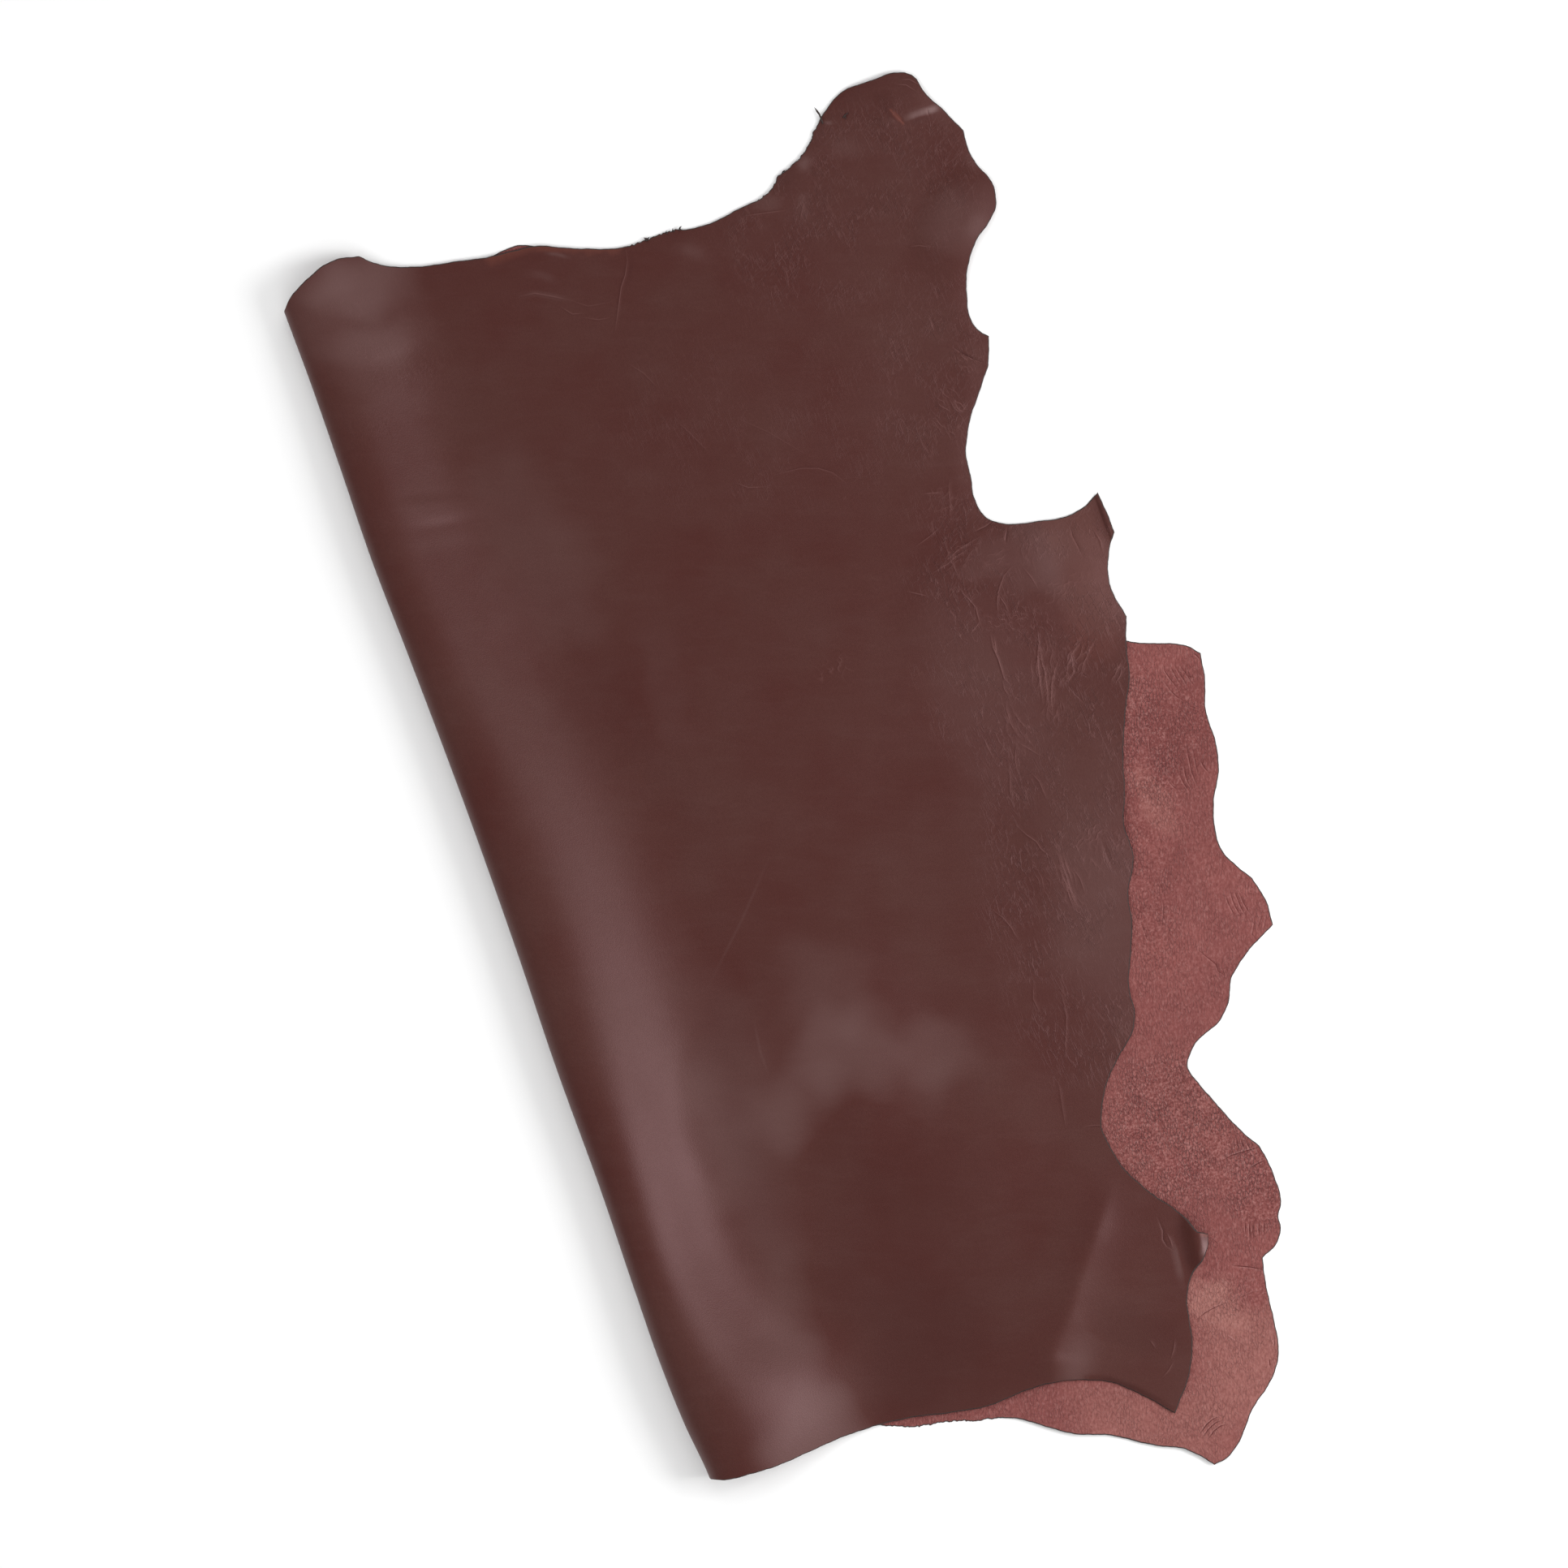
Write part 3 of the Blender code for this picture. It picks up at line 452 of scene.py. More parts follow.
# loose fibres: bent line from the root, height and thickness of the root, then of the tip
FIBRE_SIDES = 5
FIBRES = (
    (((560, 1214.5), (560.2, 1220), (560, 1224.4), (559, 1228), (557.6, 1233.2)), 4.6, 1.5, 3, 2.4),
    (((357.2, 1165.6), (357, 1168.2), (355.6, 1170.4)), 4, 2.2, 2, 1.2),
    (((358.6, 1165.6), (359.8, 1167.8), (361.4, 1168.8)), 4, 1.8, 2, 1),
    (((378.6, 1165.2), (378.4, 1167.6), (379.6, 1168.8)), 4, 1.8, 2, 1),
    (((386, 1164.8), (385, 1167.2), (386, 1168.8)), 4, 1.6, 2, 1),
    (((391.4, 1164.4), (392.8, 1166.8), (395.2, 1167.8)), 4, 2.2, 2, 1.2),
    (((509, 1184), (507, 1183.8), (504.8, 1182.8)), 4, 1.8, 2, 1),
    (((580.8, 1213.2), (582.6, 1214.4), (585, 1215.4), (588.6, 1216.8)), 4.9, 1.6, 4.9, 0.8),
    (((582.8, 1211.2), (583.4, 1213.8), (583.2, 1216.6)), 4.9, 1, 4.9, 0.8),
)

# where the grain is stretched to a lighter red: bent line, half width, strength
STRETCHED = (
    (((206, 1203), (232, 1201.5), (252, 1198.5), (276, 1188.5)), 4.2, 0.6),
    (((270, 1190.5), (297, 1179.5), (318, 1172.5), (330, 1169)), 3, 0.6),
    (((627.2, 1204), (630.5, 1196.5), (634.2, 1187.4)), 1.1, 0.75),
    (((629.4, 1199.2), (630.6, 1196.4), (632.4, 1192.4)), 2, 0.75),
    (((541, 57), (537, 60)), 3, 0.8),
    (((650, 775), (655, 720), (640, 650)), 24, 0.22),
)

# how loose the grain is: same columns as the swells, with a strength from 0 to 1
LOOSE_GRAIN = (
    (590, 640, 150, 260, 0, 0.9),
    (600, 930, 110, 120, 0, 0.7),
    (540, 400, 120, 240, -10, 0.7),
    (560, 1130, 180, 110, 10, 0.6),
    (70, 1150, 90, 120, 0, 0.15),
    (400, 960, 210, 120, -20, 0.2),
)
# ovals of painted highlight where the grain's sheen faces the light, paler and greyer, among paler
# patches of the grain's own tone, and darker places below zero
PAINTED_SHEEN_AND_TONE = (
    (266, 342, 64, 62, 0, 0.26),
    (268, 415, 56, 70, 15, 0.10),
    (196, 316, 72, 44, 15, 0.16),
    (342, 320, 60, 44, -45, 0.19),
    (326, 286, 48, 34, 0, 0.07),
    (272, 335, 170, 140, 0, 0.05),
    (252, 120, 132, 240, 0, -0.20),
    (240, 50, 80, 90, 0, -0.22),
    (116, -2, 72, 64, -20, 0.34),
    (104, 85, 44, 60, 0, 0.10),
    (145, 905, 70, 150, 0, 0.12),
    (150, 330, 66, 210, 0, 0.12),
    (150, 745, 70, 90, 0, -0.10),
    (222, 745, 30, 90, 0, 0.06),
    (664, 1080, 58, 44, 20, 0.17),
    (633, 1212, 13, 13, 0, -0.20),
    (506, 1170, 20, 22, 0, -0.20),
    (478, 1156, 18, 12, 0, 0.12),
    (650, 710, 50, 90, 0, 0.21),
    (610, 745, 50, 50, 0, 0.12),
    (562, 760, 30, 24, 0, 0.10),
    (555, 390, 70, 150, -12, 0.13),
    (445, -5, 30, 70, 40, -0.22),
    (452, 100, 44, 54, 0, -0.12),
    (520, 625, 70, 150, 0, 0.08),
    (304, 374, 34, 34, 0, 0.10),
    (60, 1185, 90, 80, 0, 0.14),
    (92, 1226, 74, 46, 0, 0.28),
    (44, 1238, 44, 32, 15, 0.14),
    (64, 1162, 56, 30, 0, 0.10),
)
# flesh side: coarse dark nap, then paler and deeper places as above
COARSE_NAP = (
    (545, 165, 80, 90, 0, 1),
    (645, 545, 44, 110, 0, 0.6),
    (600, 400, 34, 120, -10, 0.4),
    (690, 540, 40, 50, 0, 0.4),
    (555, -10, 40, 30, 0, 0.4),
    (600, 90, 40, 60, 0, 0.8),
)
FLESH_TONE = (
    # the first oval pales the flesh round the painted highlight below the pleat
    (522, -6, 44, 40, 0, 0.66),
    (545, -80, 90, 90, 0, 0.60),
    (430, -110, 120, 60, -35, 0.44),
    (692, 535, 60, 80, 0, -0.42),
    (612, 468, 20, 38, -12, -0.42),
    (642, 478, 24, 52, -8, 0.38),
    (655, 592, 30, 44, 0, 0.17),
    (630, 415, 18, 30, -10, -0.17),
    (690, 480, 50, 60, 0, -0.08),
    (660, 415, 50, 40, 0, -0.17),
    (590, 90, 50, 60, 0, 0.04),
    (545, 170, 100, 100, 0, 0.13),
)

# marks and streaks: they fade out within this many half widths; their ends keep this share of
# their strength, which is full past this share of their length
LINE_REACH = 2.0
LINE_END = 0.25
FADED_SHARE = 0.35
# half widths to which a lip or groove, its painted light and shade, and the stretched grain reach
MARK_WIDTH = 1.6
LIP_LIGHT_AND_SHADE_WIDTH = 1.8
STRETCHED_WIDTH = 1.6
# wrinkles of a patch: points of each, then the least and most of each random share
WRINKLE_POINTS = 6
WRINKLE_SIZES = (0.5, 1.3)
WRINKLE_ASIDE = (-0.3, 0.3)
WRINKLE_SWAY = 0.28
WRINKLE_TURNS = (4.0, 9.0)
WRINKLE_LEAN = (-0.5, 0.5)
WRINKLE_HEIGHTS = (0.5, 1.1)
WRINKLE_WIDTHS = (0.8, 1.2)
WRINKLE_RESTS = (0.05, 0.5)
# share of the height that is lost at the edge of a patch
WRINKLE_FADE = 0.6
# the range of the random starts of waves
ANY_START = (0.0, 6.0)

# mesh: the finest step, the step of the rim, and the coarser levels in doublings of the finest
FINE_STEP = 1.12
RIM_STEP = 2.4
CLOSE_LEVEL = 2
SMOOTH_LEVEL = 3
HIDDEN_LEVEL = 4
# length of sheet on each side of the backbone that counts as the bend
BEND_LENGTH = 72.0
# fine steps go so far past a mark, and in so much of a patch's oval; a streak's steps are one
# level coarser for each of these in its half width
MARK_MARGIN = 1.6
PATCH_REACH = 1.05
STREAK_STEP = 2.5
# in steps of the rim: inner points are left out nearer to it than this, and longer steps of it
# are split
RIM_CLEAR = 0.6
LONGEST_STEP = 1.6
# step of the coarse outlines, and a distance beyond any on the hide
COARSE_STEP = 20.0
FAR = 1e9
# points this near to each other are one, in metres
SAME_PLACE = 1e-8
# the values painted on the sheet's points, and how steeply ovals of loose grain and coarse nap
# rise from their edge
PAINTED = ("loose", "stretched", "lip_light_and_shade", "beside", "tone")
OVAL_STEEP = 1.3
# the edges of the tone ovals, the painted highlights among them, wander by this much, at these lengths,
# from these places in a wave
WANDER = ((7, 19), (3.5, 8))
WANDER_STARTS = (1.0, 4.0)
# places with a close step on the grain side, and tight bends with it on both sides
CLOSE_PLACES = (
    (600, 640, 130, 290, 0, 2),
    (600, 930, 80, 110, 0, 2),
    (540, 420, 90, 200, -10, 2),
    (640, 1190, 60, 60, 0, 2),
)
BENT_PLACES = (
    (516, 56, 30, 62, 0, 1),
    (688, 757, 16, 42, 0, 1),
    (420, 66, 60, 130, -35, 2),
    (640, 1192, 60, 30, 0, 2),
)

# camera and picture: width of the picture at the surface, its middle in hide millimetres, turn
# of the hide in it
PICTURE_SPAN = 1.5456
PICTURE_MIDDLE = (300.9, 616.6)
PICTURE_TURN = math.radians(-20.06)
CAMERA_HEIGHT = 8.0
SENSOR = 36.0
FAR_CLIP = 100.0

# finish, as linear colours, among them the colours of painted highlights and shade
GRAIN_DARK = (0.0560, 0.0146, 0.0110, 1.0)
GRAIN_LIGHT = (0.0620, 0.0210, 0.0164, 1.0)
# darker grain for flecks and darker places, and the painted shade beside lips
GRAIN_DEEP = (0.034, 0.0080, 0.0060, 1.0)
# paler, greyer grain for brushed streaks and scratches, and the colour of painted highlights
GRAIN_PALE_AND_SHEEN = (0.147, 0.0870, 0.0825, 1.0)
# painted highlight on the lit middle of lips and fine lines
GRAIN_LIP = (0.135, 0.0600, 0.0550, 1.0)
GRAIN_STRETCHED = (0.105, 0.0300, 0.0200, 1.0)
GRAIN_SHEEN = (1.0, 0.68, 0.72, 1.0)
FLESH_DARK = (0.166, 0.0465, 0.0430, 1.0)
FLESH_LIGHT = (0.202, 0.0595, 0.0540, 1.0)
# deeper flesh for cracks, blotches and darker places, and the painted shade in the nap's hollows and in
# grooves
FLESH_DEEP = (0.078, 0.0100, 0.0090, 1.0)
# painted light on the nap's tips and on the lit side of grooves
FLESH_PALE = (0.330, 0.158, 0.146, 1.0)
# paler flesh tone, and the colour of the painted highlight below the pleat
FLESH_PALE_AND_HIGHLIGHT = (0.330, 0.146, 0.122, 1.0)
# cut edge: its own dark colour, made darker still as painted shade along the outline
EDGE_DARK = (0.018, 0.012, 0.011, 1.0)
EDGE_LIGHT = (0.050, 0.034, 0.031, 1.0)
FLOOR_COLOUR = (0.86, 0.86, 0.86, 1.0)

# noise patterns of the finish: cell in metres and its turn from across the hide, then scale in
# such cells, detail, roughness and distortion, then how it is spread: its low and high end and
# the strength that each end gets
PLAIN_CELL = (1.0, 1.0, 1.0)
AS_IS = (0.0, 1.0, 0.0, 1.0)
PATTERNS = {
    # grain side, where gloss gives the roughness
    "grain cloud": (PLAIN_CELL, 0.0, 7.0, 3.0, 0.6, 0.0, (0.35, 0.65, 0.0, 1.0)),
    "brushed": ((0.011, 0.045, 0.011), 1.22, 1.0, 4.0, 0.65, 0.6, (0.45, 0.75, 0.0, 0.04)),
    "fleck": (PLAIN_CELL, 0.0, 420.0, 3.0, 0.65, 0.0, (0.35, 0.7, 0.0, 0.25)),
    "gloss": (PLAIN_CELL, 0.0, 14.0, 3.0, 0.5, 0.0, (0.3, 0.7, 0.42, 0.47)),
    "growth": ((0.0038, 0.008, 0.0038), 0.1, 1.0, 3.0, 0.6, 1.2, AS_IS),
    "wrinkled patch": (PLAIN_CELL, 0.0, 22.0, 3.0, 0.6, 0.0, (0.38, 0.60, 0.0, 1.0)),
    "lengthwise lines": ((0.0050, 0.028, 0.0050), 0.05, 1.0, 2.0, 0.5, 0.5, AS_IS),
    "crossing lines": ((0.0050, 0.022, 0.0050), -1.0, 1.0, 2.0, 0.5, 0.5, AS_IS),
    # flesh side
    "flesh cloud": (PLAIN_CELL, 0.0, 16.0, 3.0, 0.6, 0.0, (0.3, 0.7, 0.0, 1.0)),
    "combed": ((0.0021, 0.0044, 0.0021), -0.35, 1.0, 2.0, 0.5, 0.5, AS_IS),
    "pebbled": (PLAIN_CELL, 0.0, 430.0, 2.0, 0.5, 0.4, AS_IS),
    "cracked patch": (PLAIN_CELL, 0.0, 40.0, 3.0, 0.6, 0.0, (0.36, 0.56, 0.25, 1.0)),
    "blotch": (PLAIN_CELL, 0.0, 90.0, 3.0, 0.6, 0.0, (0.45, 0.65, 0.0, 0.2)),
    "flesh fibre": (PLAIN_CELL, 0.0, 1300.0, 2.0, 0.6, 0.0, AS_IS),
    # cut edge
    "edge fibre": (PLAIN_CELL, 0.0, 900.0, 3.0, 0.6, 0.0, AS_IS),
}
# the parts of a value that make a tone, spread in the same way: the nap's hollows are painted darker as
# shade and its tips paler as light
NAP_HOLLOWS = (0.52, 0.34, 0.0, 0.72)
NAP_TIPS = (0.52, 0.66, 0.0, 0.52)
EDGE_TONE = (0.3, 0.7)
# how strong a pattern is by how loose the grain or how coarse the nap is, spread as above
GROWTH_BY_LOOSE = (0.0, 1.0, 0.08, 0.30)
LINES_BY_LOOSE = (0.0, 0.8, 0.04, 0.9)
COMBED_BY_COARSE = (0.0, 0.6, 0.65, 0.2)
PEBBLED_BY_COARSE = (0.0, 0.6, 0.35, 0.8)
NAP_BY_COARSE = (0.0, 1.0, 0.55, 1.0)
# roughness that loose grain adds
LOOSE_ROUGH = 0.12
# fine lines of the grain side: half widths, share of the crossing ones, and the tone of the painted
# highlight on them
LENGTHWISE_HALF = 0.030
CROSSING_HALF = 0.022
CROSSING_SHARE = 0.6
LINES_TONE = 0.36
# cracks of the flesh side: cell in metres and its turn, width, tone, and the share that its
# painted tone has
CRACK_CELL = ((0.0028, 0.0060, 0.0028), -0.2)
CRACK_WIDTH = 0.14
CRACK_TONE = 0.45
FLESH_TONE_SHARE = 0.6
# pores of the grain side for each metre, and depths in metres
PORE_SCALE = 900.0
PORE_DEPTH = 0.00006
GROWTH_DEPTH = 0.0008
LINES_DEPTH = 0.0004
FIBRE_DEPTH = 0.00015
NAP_DEPTH = 0.0010
CRACK_DEPTH = -0.0007
EDGE_DEPTH = 0.0002
# a lip is lit on its middle line and shaded on the side away from this one, so much of its
# tone; both lines go from full to none between these distances off their middle
LIT_SIDE = (0.94, -0.34)
GRAIN_SHADED = 0.6
FLESH_SHADED = 0.3
LIT_LINE = (0.1, 0.7)
SHADED_MIDDLE = 1.15
SHADED_LINE = (0.25, 0.9)

# studio: an even sky, one window of light with its place and target in the picture, size
# and power, and wide fills by the side and height that they come from and their strength
SKY_STRENGTH = 0.30
WINDOW = ((2.2, 0.0, 1.6), (0.0, -0.1, 0.0), (1.6, 1.4), 60.0)
FILLS = (
    (80.0, 45.0, 1.1),
    (265.0, 45.0, 1.1),
    (180.0, 40.0, 0.8),
)
FILL_SPREAD = math.radians(60.0)
FLOOR_HALF = 8.0


def soft_step(value):
    value = np.clip(value, 0.0, 1.0)
    return value * value * (3.0 - 2.0 * value)


def bell_turn(value):
    """Share of a bend done at this share of its length; curvature is a soft bell."""
    value = np.clip(value, 0.0, 1.0)
    return value - np.sin(2.0 * math.pi * value) / (2.0 * math.pi)


def smooth_weights(t):
    """Weights of the start of a smooth stretch, its slope there, its end and its slope there."""
    t2, t3 = t * t, t * t * t
    return 2 * t3 - 3 * t2 + 1, t3 - 2 * t2 + t, 3 * t2 - 2 * t3, t3 - t2


def fold_value(name, where):
    """Value of a column of the fold's table between its rows, as a smooth curve."""
    keys, values = (np.array([row[FOLD_COLUMNS.index(wanted)] for row in FOLD], dtype=float)
                    for wanted in (FOLD_COLUMNS[0], name))
    slopes = np.gradient(values, keys)
    where = np.clip(where, keys[0], keys[-1])
    low = np.clip(np.searchsorted(keys, where) - 1, 0, len(keys) - 2)
    span = keys[low + 1] - keys[low]
    start, leave, end, arrive = smooth_weights((where - keys[low]) / span)
    return (start * values[low] + leave * span * slopes[low]
            + end * values[low + 1] + arrive * span * slopes[low + 1])


def opening_turn(value):
    """Share of the bend done at this share of its length, most of it near the start."""
    grid = np.linspace(0.0, 1.0, SECTION_STEPS)
    done = np.cumsum(grid ** BEND_TIGHTENS * (1.0 - grid) ** BEND_OPENS)
    return np.interp(value, grid, done / done[-1])


def section_curve(levelling):
    """Section of the fold for this length in which the half above levels out."""
    arc = np.linspace(-BEND_START, SECTION_REACH, SECTION_STEPS)
    bent = opening_turn((arc + BEND_START) / (BEND_START + BEND_REACH))
    angle = (math.pi - (math.pi + DESCENT_ANGLE) * bent
             + DESCENT_ANGLE * bell_turn((arc - BEND_REACH + LEVELLING_OVERLAP) / levelling))
    step = arc[1] - arc[0]
    middle = 0.5 * (angle[1:] + angle[:-1])
    across = np.concatenate(([0.0], np.cumsum(np.cos(middle)) * step))
    up = np.concatenate(([0.0], np.cumsum(np.sin(middle)) * step))
    return arc, across - across.min(), up


def fold_section():
    """Section whose half above comes down exactly to the half below."""
    low, high = LEAST_LEVELLING, SECTION_REACH - BEND_REACH
    for _ in range(HALVINGS):
        levelling = 0.5 * (low + high)
        arc, across, up = section_curve(levelling)
        if up[-1] > 0.0:
            low = levelling
        else:
            high = levelling
    return arc, across, up, BEND_REACH - LEVELLING_OVERLAP + levelling


ARC, ARC_ACROSS, ARC_UP, ARC_LANDING = fold_section()
ARC_EDGE = ARC[np.argmin(ARC_ACROSS)]
ARC_CREST = ARC[np.argmax(ARC_UP)]
LOOP_HEIGHT = ARC_UP.max()


def bend_size(along):
    return fold_value("width", along) / LOOP_HEIGHT


def section_across(arc):
    below = np.maximum(ARC[0] - arc, 0.0)
    above = np.maximum(arc - ARC[-1], 0.0)
    return np.interp(arc, ARC, ARC_ACROSS) + below + above


def from_fold(across, along, side):
    """Length along the sheet from the fold to a place in plan, below it is negative."""
    size = bend_size(along)
    reach = np.maximum((across - fold_value("across", along)) / size, 0.0)
    if side > 0:
        keep = ARC >= ARC_EDGE
        arc = np.interp(reach, ARC_ACROSS[keep], ARC[keep])
        arc = arc + np.maximum(reach - ARC_ACROSS[-1], 0.0)
    else:
        keep = ARC <= ARC_EDGE
        arc = np.interp(reach, ARC_ACROSS[keep][::-1], ARC[keep][::-1])
        arc = arc - np.maximum(reach - ARC_ACROSS[0], 0.0)
    return arc * size


def tangent(before, here, after, chord):
    """Direction of the curve at a point, scaled to one stretch of it."""
    if before is None:
        return after - here
    if after is None:
        return here - before
    first = here - before
    last = after - here
    first_length = np.linalg.norm(first)
    last_length = np.linalg.norm(last)
    blend = (first / first_length * last_length + last / last_length * first_length)
    return blend / (first_length + last_length) * chord


def spline_points(rows, step):
    """Points at even steps on a smooth curve through the rows, sharp at its corners."""
    points = np.array([row[:2] for row in rows], dtype=float)
    corner = [len(row) > 2 for row in rows]
    made = [points[0]]
    for index in range(len(points) - 1):
        a, b = points[index], points[index + 1]
        chord = math.dist(a, b)
        ahead = points[index + 2] if index + 2 < len(points) and not corner[index + 1] else None
        behind = points[index - 1] if index > 0 and not corner[index] else None
        leaving = tangent(behind, a, b, chord)
        arriving = tangent(a, b, ahead, chord)
        count = max(1, int(round(chord / step)))
        for part in range(1, count + 1):
            start, leave, end, arrive = smooth_weights(part / count)
            made.append(start * a + leave * leaving + end * b + arrive * arriving)
    return np.array(made)


def distance_to_line(points, line):
    """Distance to a bent line, its side, the length along it at the nearest place, all of it."""
    best = np.full(len(points), FAR)
    side = np.zeros(len(points))
    place = np.zeros(len(points))
    line = np.array(line, dtype=float)
    lengths = np.linalg.norm(np.diff(line, axis=0), axis=1)
    run = 0.0
    for a, b, length in zip(line[:-1], line[1:], lengths):
        way = (b - a) / length
        gap = points - a
        t = np.clip(gap @ way, 0.0, length)
        away = gap - t[:, None] * way
        far = np.hypot(away[:, 0], away[:, 1])
        near = far < best
        best = np.where(near, far, best)
        side = np.where(near, np.sign(way[0] * gap[:, 1] - way[1] * gap[:, 0]), side)
        place = np.where(near, run + t, place)
        run += length
    return best, side, place, run


def past_edge(points, outline):
    """Distance outside a closed outline, zero inside it."""
    best = distance_to_line(points, np.vstack((outline, outline[:1])))[0]
    inside = np.zeros(len(points), dtype=bool)
    for a, b in zip(outline, np.roll(outline, -1, axis=0)):
        crosses = (a[1] > points[:, 1]) != (b[1] > points[:, 1])
        rise = b[1] - a[1] if b[1] != a[1] else 1.0 / FAR
        cut = a[0] + (points[:, 1] - a[1]) * (b[0] - a[0]) / rise
        inside ^= crosses & (points[:, 0] < cut)
    return np.where(inside, 0.0, best)


def in_oval(points, row):
    """Share of the way out from the middle of an oval, squared, which is 1 on its line."""
    across, along, reach_across, reach_along, turn = row[:5]
    turn = math.radians(turn)
    gap_x = points[:, 0] - across
    gap_y = points[:, 1] - along
    u = (gap_x * math.cos(turn) + gap_y * math.sin(turn)) / reach_across
    v = (gap_y * math.cos(turn) - gap_x * math.sin(turn)) / reach_along
    return u * u + v * v


def swell_height(points, rows):
    """Sum of soft ovals, each with the last value of its row in its middle."""
    return sum(row[-1] * soft_step(1.0 - in_oval(points, row)) for row in rows)


def crease_height(points, line, rise, rounding, inner, outer, start, taper):
    """Soft ridge that falls at its own rate on each side of a bent line."""
    far, side, place, length = distance_to_line(points, line)
    soft = np.sqrt(far * far + rounding * rounding) - rounding
    fall = np.where(side < 0.0, inner, outer)
    ends = soft_step(place / taper + start) * soft_step(
        (length - place) / CREASE_END_TAPER + CREASE_END)
    reach = np.clip(1.0 - far / (CREASE_REACH * fall), 0.0, 1.0)
    return rise * np.exp(-soft / fall) * ends * reach


def wave_height(points, line, rise, climb, fall, given_back, taper):
    """Pleat or turned lip at a free edge, past its valley line."""
    far, side, place, length = distance_to_line(points, line)
    past = np.where(side > 0.0, far, 0.0)
    up = soft_step(past / climb) - given_back * soft_step((past - climb) / fall)
    return rise * up * soft_step(place / taper) * soft_step((length - place) / taper)


BELOW_OUTLINE = spline_points(EDGE_BELOW, COARSE_STEP)
COVER_OUTLINE = spline_points(EDGE_ABOVE, COARSE_STEP)


def plan_of(flat):
    """Place in plan of lengths from the fold."""
    size = bend_size(flat[:, 1])
    across = fold_value("across", flat[:, 1]) + size * section_across(flat[:, 0] / size)
    return np.column_stack((across, flat[:, 1]))


def sheet_middle(flat):
    """Place of the middle of the sheet for lengths from the fold and along it."""
    plan = plan_of(flat)
    arc = flat[:, 0] / bend_size(flat[:, 1])
    rise = fold_value("height", flat[:, 1]) / LOOP_HEIGHT
    up = rise * np.interp(arc, ARC, ARC_UP, left=0.0, right=0.0)

    below = swell_height(plan, SWELLS_BELOW)
    cover = 1.0 - soft_step((past_edge(plan, BELOW_OUTLINE) - SETTLE_START) / SETTLE_LENGTH)
    settled = soft_step((arc - ARC_CREST) / (ARC_LANDING - ARC_CREST))
    above = swell_height(plan, SWELLS_ABOVE + SOFTNESS)
    above += sum(crease_height(plan, *row) for row in CREASES)
    above += sum(wave_height(plan, *row) for row in WAVES)

    lift = np.where(arc > 0.0, settled * (cover * (THICKNESS + LAYER_GAP) + below)
                    + soft_step((arc - ARC_CREST) / CREST_BLEND) * above,
                    soft_step(-arc - BEND_START) * below)
    return np.column_stack((plan, up + lift + THICKNESS / 2.0))


def sheet_sides(flat):
    """Grain side and flesh side of the sheet, half a thickness off its middle."""
    middle = sheet_middle(flat)
    ways = []
    for step in ((NORMAL_STEP, 0.0), (0.0, NORMAL_STEP)):
        ways.append(sheet_middle(flat + step) - sheet_middle(flat - np.array(step)))
    normal = np.cross(*ways)
    normal /= np.linalg.norm(normal, axis=1)[:, None]
    half = normal * THICKNESS / 2.0
    return middle + half, middle - half, normal


def wrinkle_lines(row):
    """Short wavy wrinkles that fill an oval patch, as rows like those of the marks."""
    across, along, reach_across, reach_along, _, run, gap, length, height, half, seed = row
    random = np.random.default_rng(seed)
    run = math.radians(run)
    way = np.array((math.sin(run), math.cos(run)))
    aside = np.array((way[1], -way[0]))
    reach = max(reach_across, reach_along) + length
    share = np.linspace(-0.5, 0.5, WRINKLE_POINTS)
    rows = []
    for off in np.arange(-reach, reach, gap):
        place = -reach + random.uniform(0.0, length)
        while place < reach:
            size = length * random.uniform(*WRINKLE_SIZES)
            middle = (across, along) + way * (place + size / 2.0) + aside * (
                off + gap * random.uniform(*WRINKLE_ASIDE))
            sway = gap * WRINKLE_SWAY * np.sin(share * random.uniform(*WRINKLE_TURNS)
                                               + random.uniform(*ANY_START))
            lean = gap * random.uniform(*WRINKLE_LEAN) * share
            line = middle + np.outer(share * size, way) + np.outer(sway + lean, aside)
            rise = height * random.uniform(*WRINKLE_HEIGHTS)
            away = in_oval(middle[None, :], row)[0]
            if away < 1.0:
                rise *= 1.0 - WRINKLE_FADE * away
                rows.append((line, rise, half * random.uniform(*WRINKLE_WIDTHS)))
            place += size + length * random.uniform(*WRINKLE_RESTS)
    return rows


def near_line(points, line, reach):
    """Which points are in the box round a bent line."""
    line = np.array(line, dtype=float)
    low = line.min(axis=0) - reach
    high = line.max(axis=0) + reach
    return np.nonzero(((points > low) & (points < high)).all(axis=1))[0]


def line_ends(place, length):
    """Strength along a line, weaker at its ends."""
    fade = FADED_SHARE * length
    full = soft_step(place / fade) * soft_step((length - place) / fade)
    return LINE_END + (1.0 - LINE_END) * full


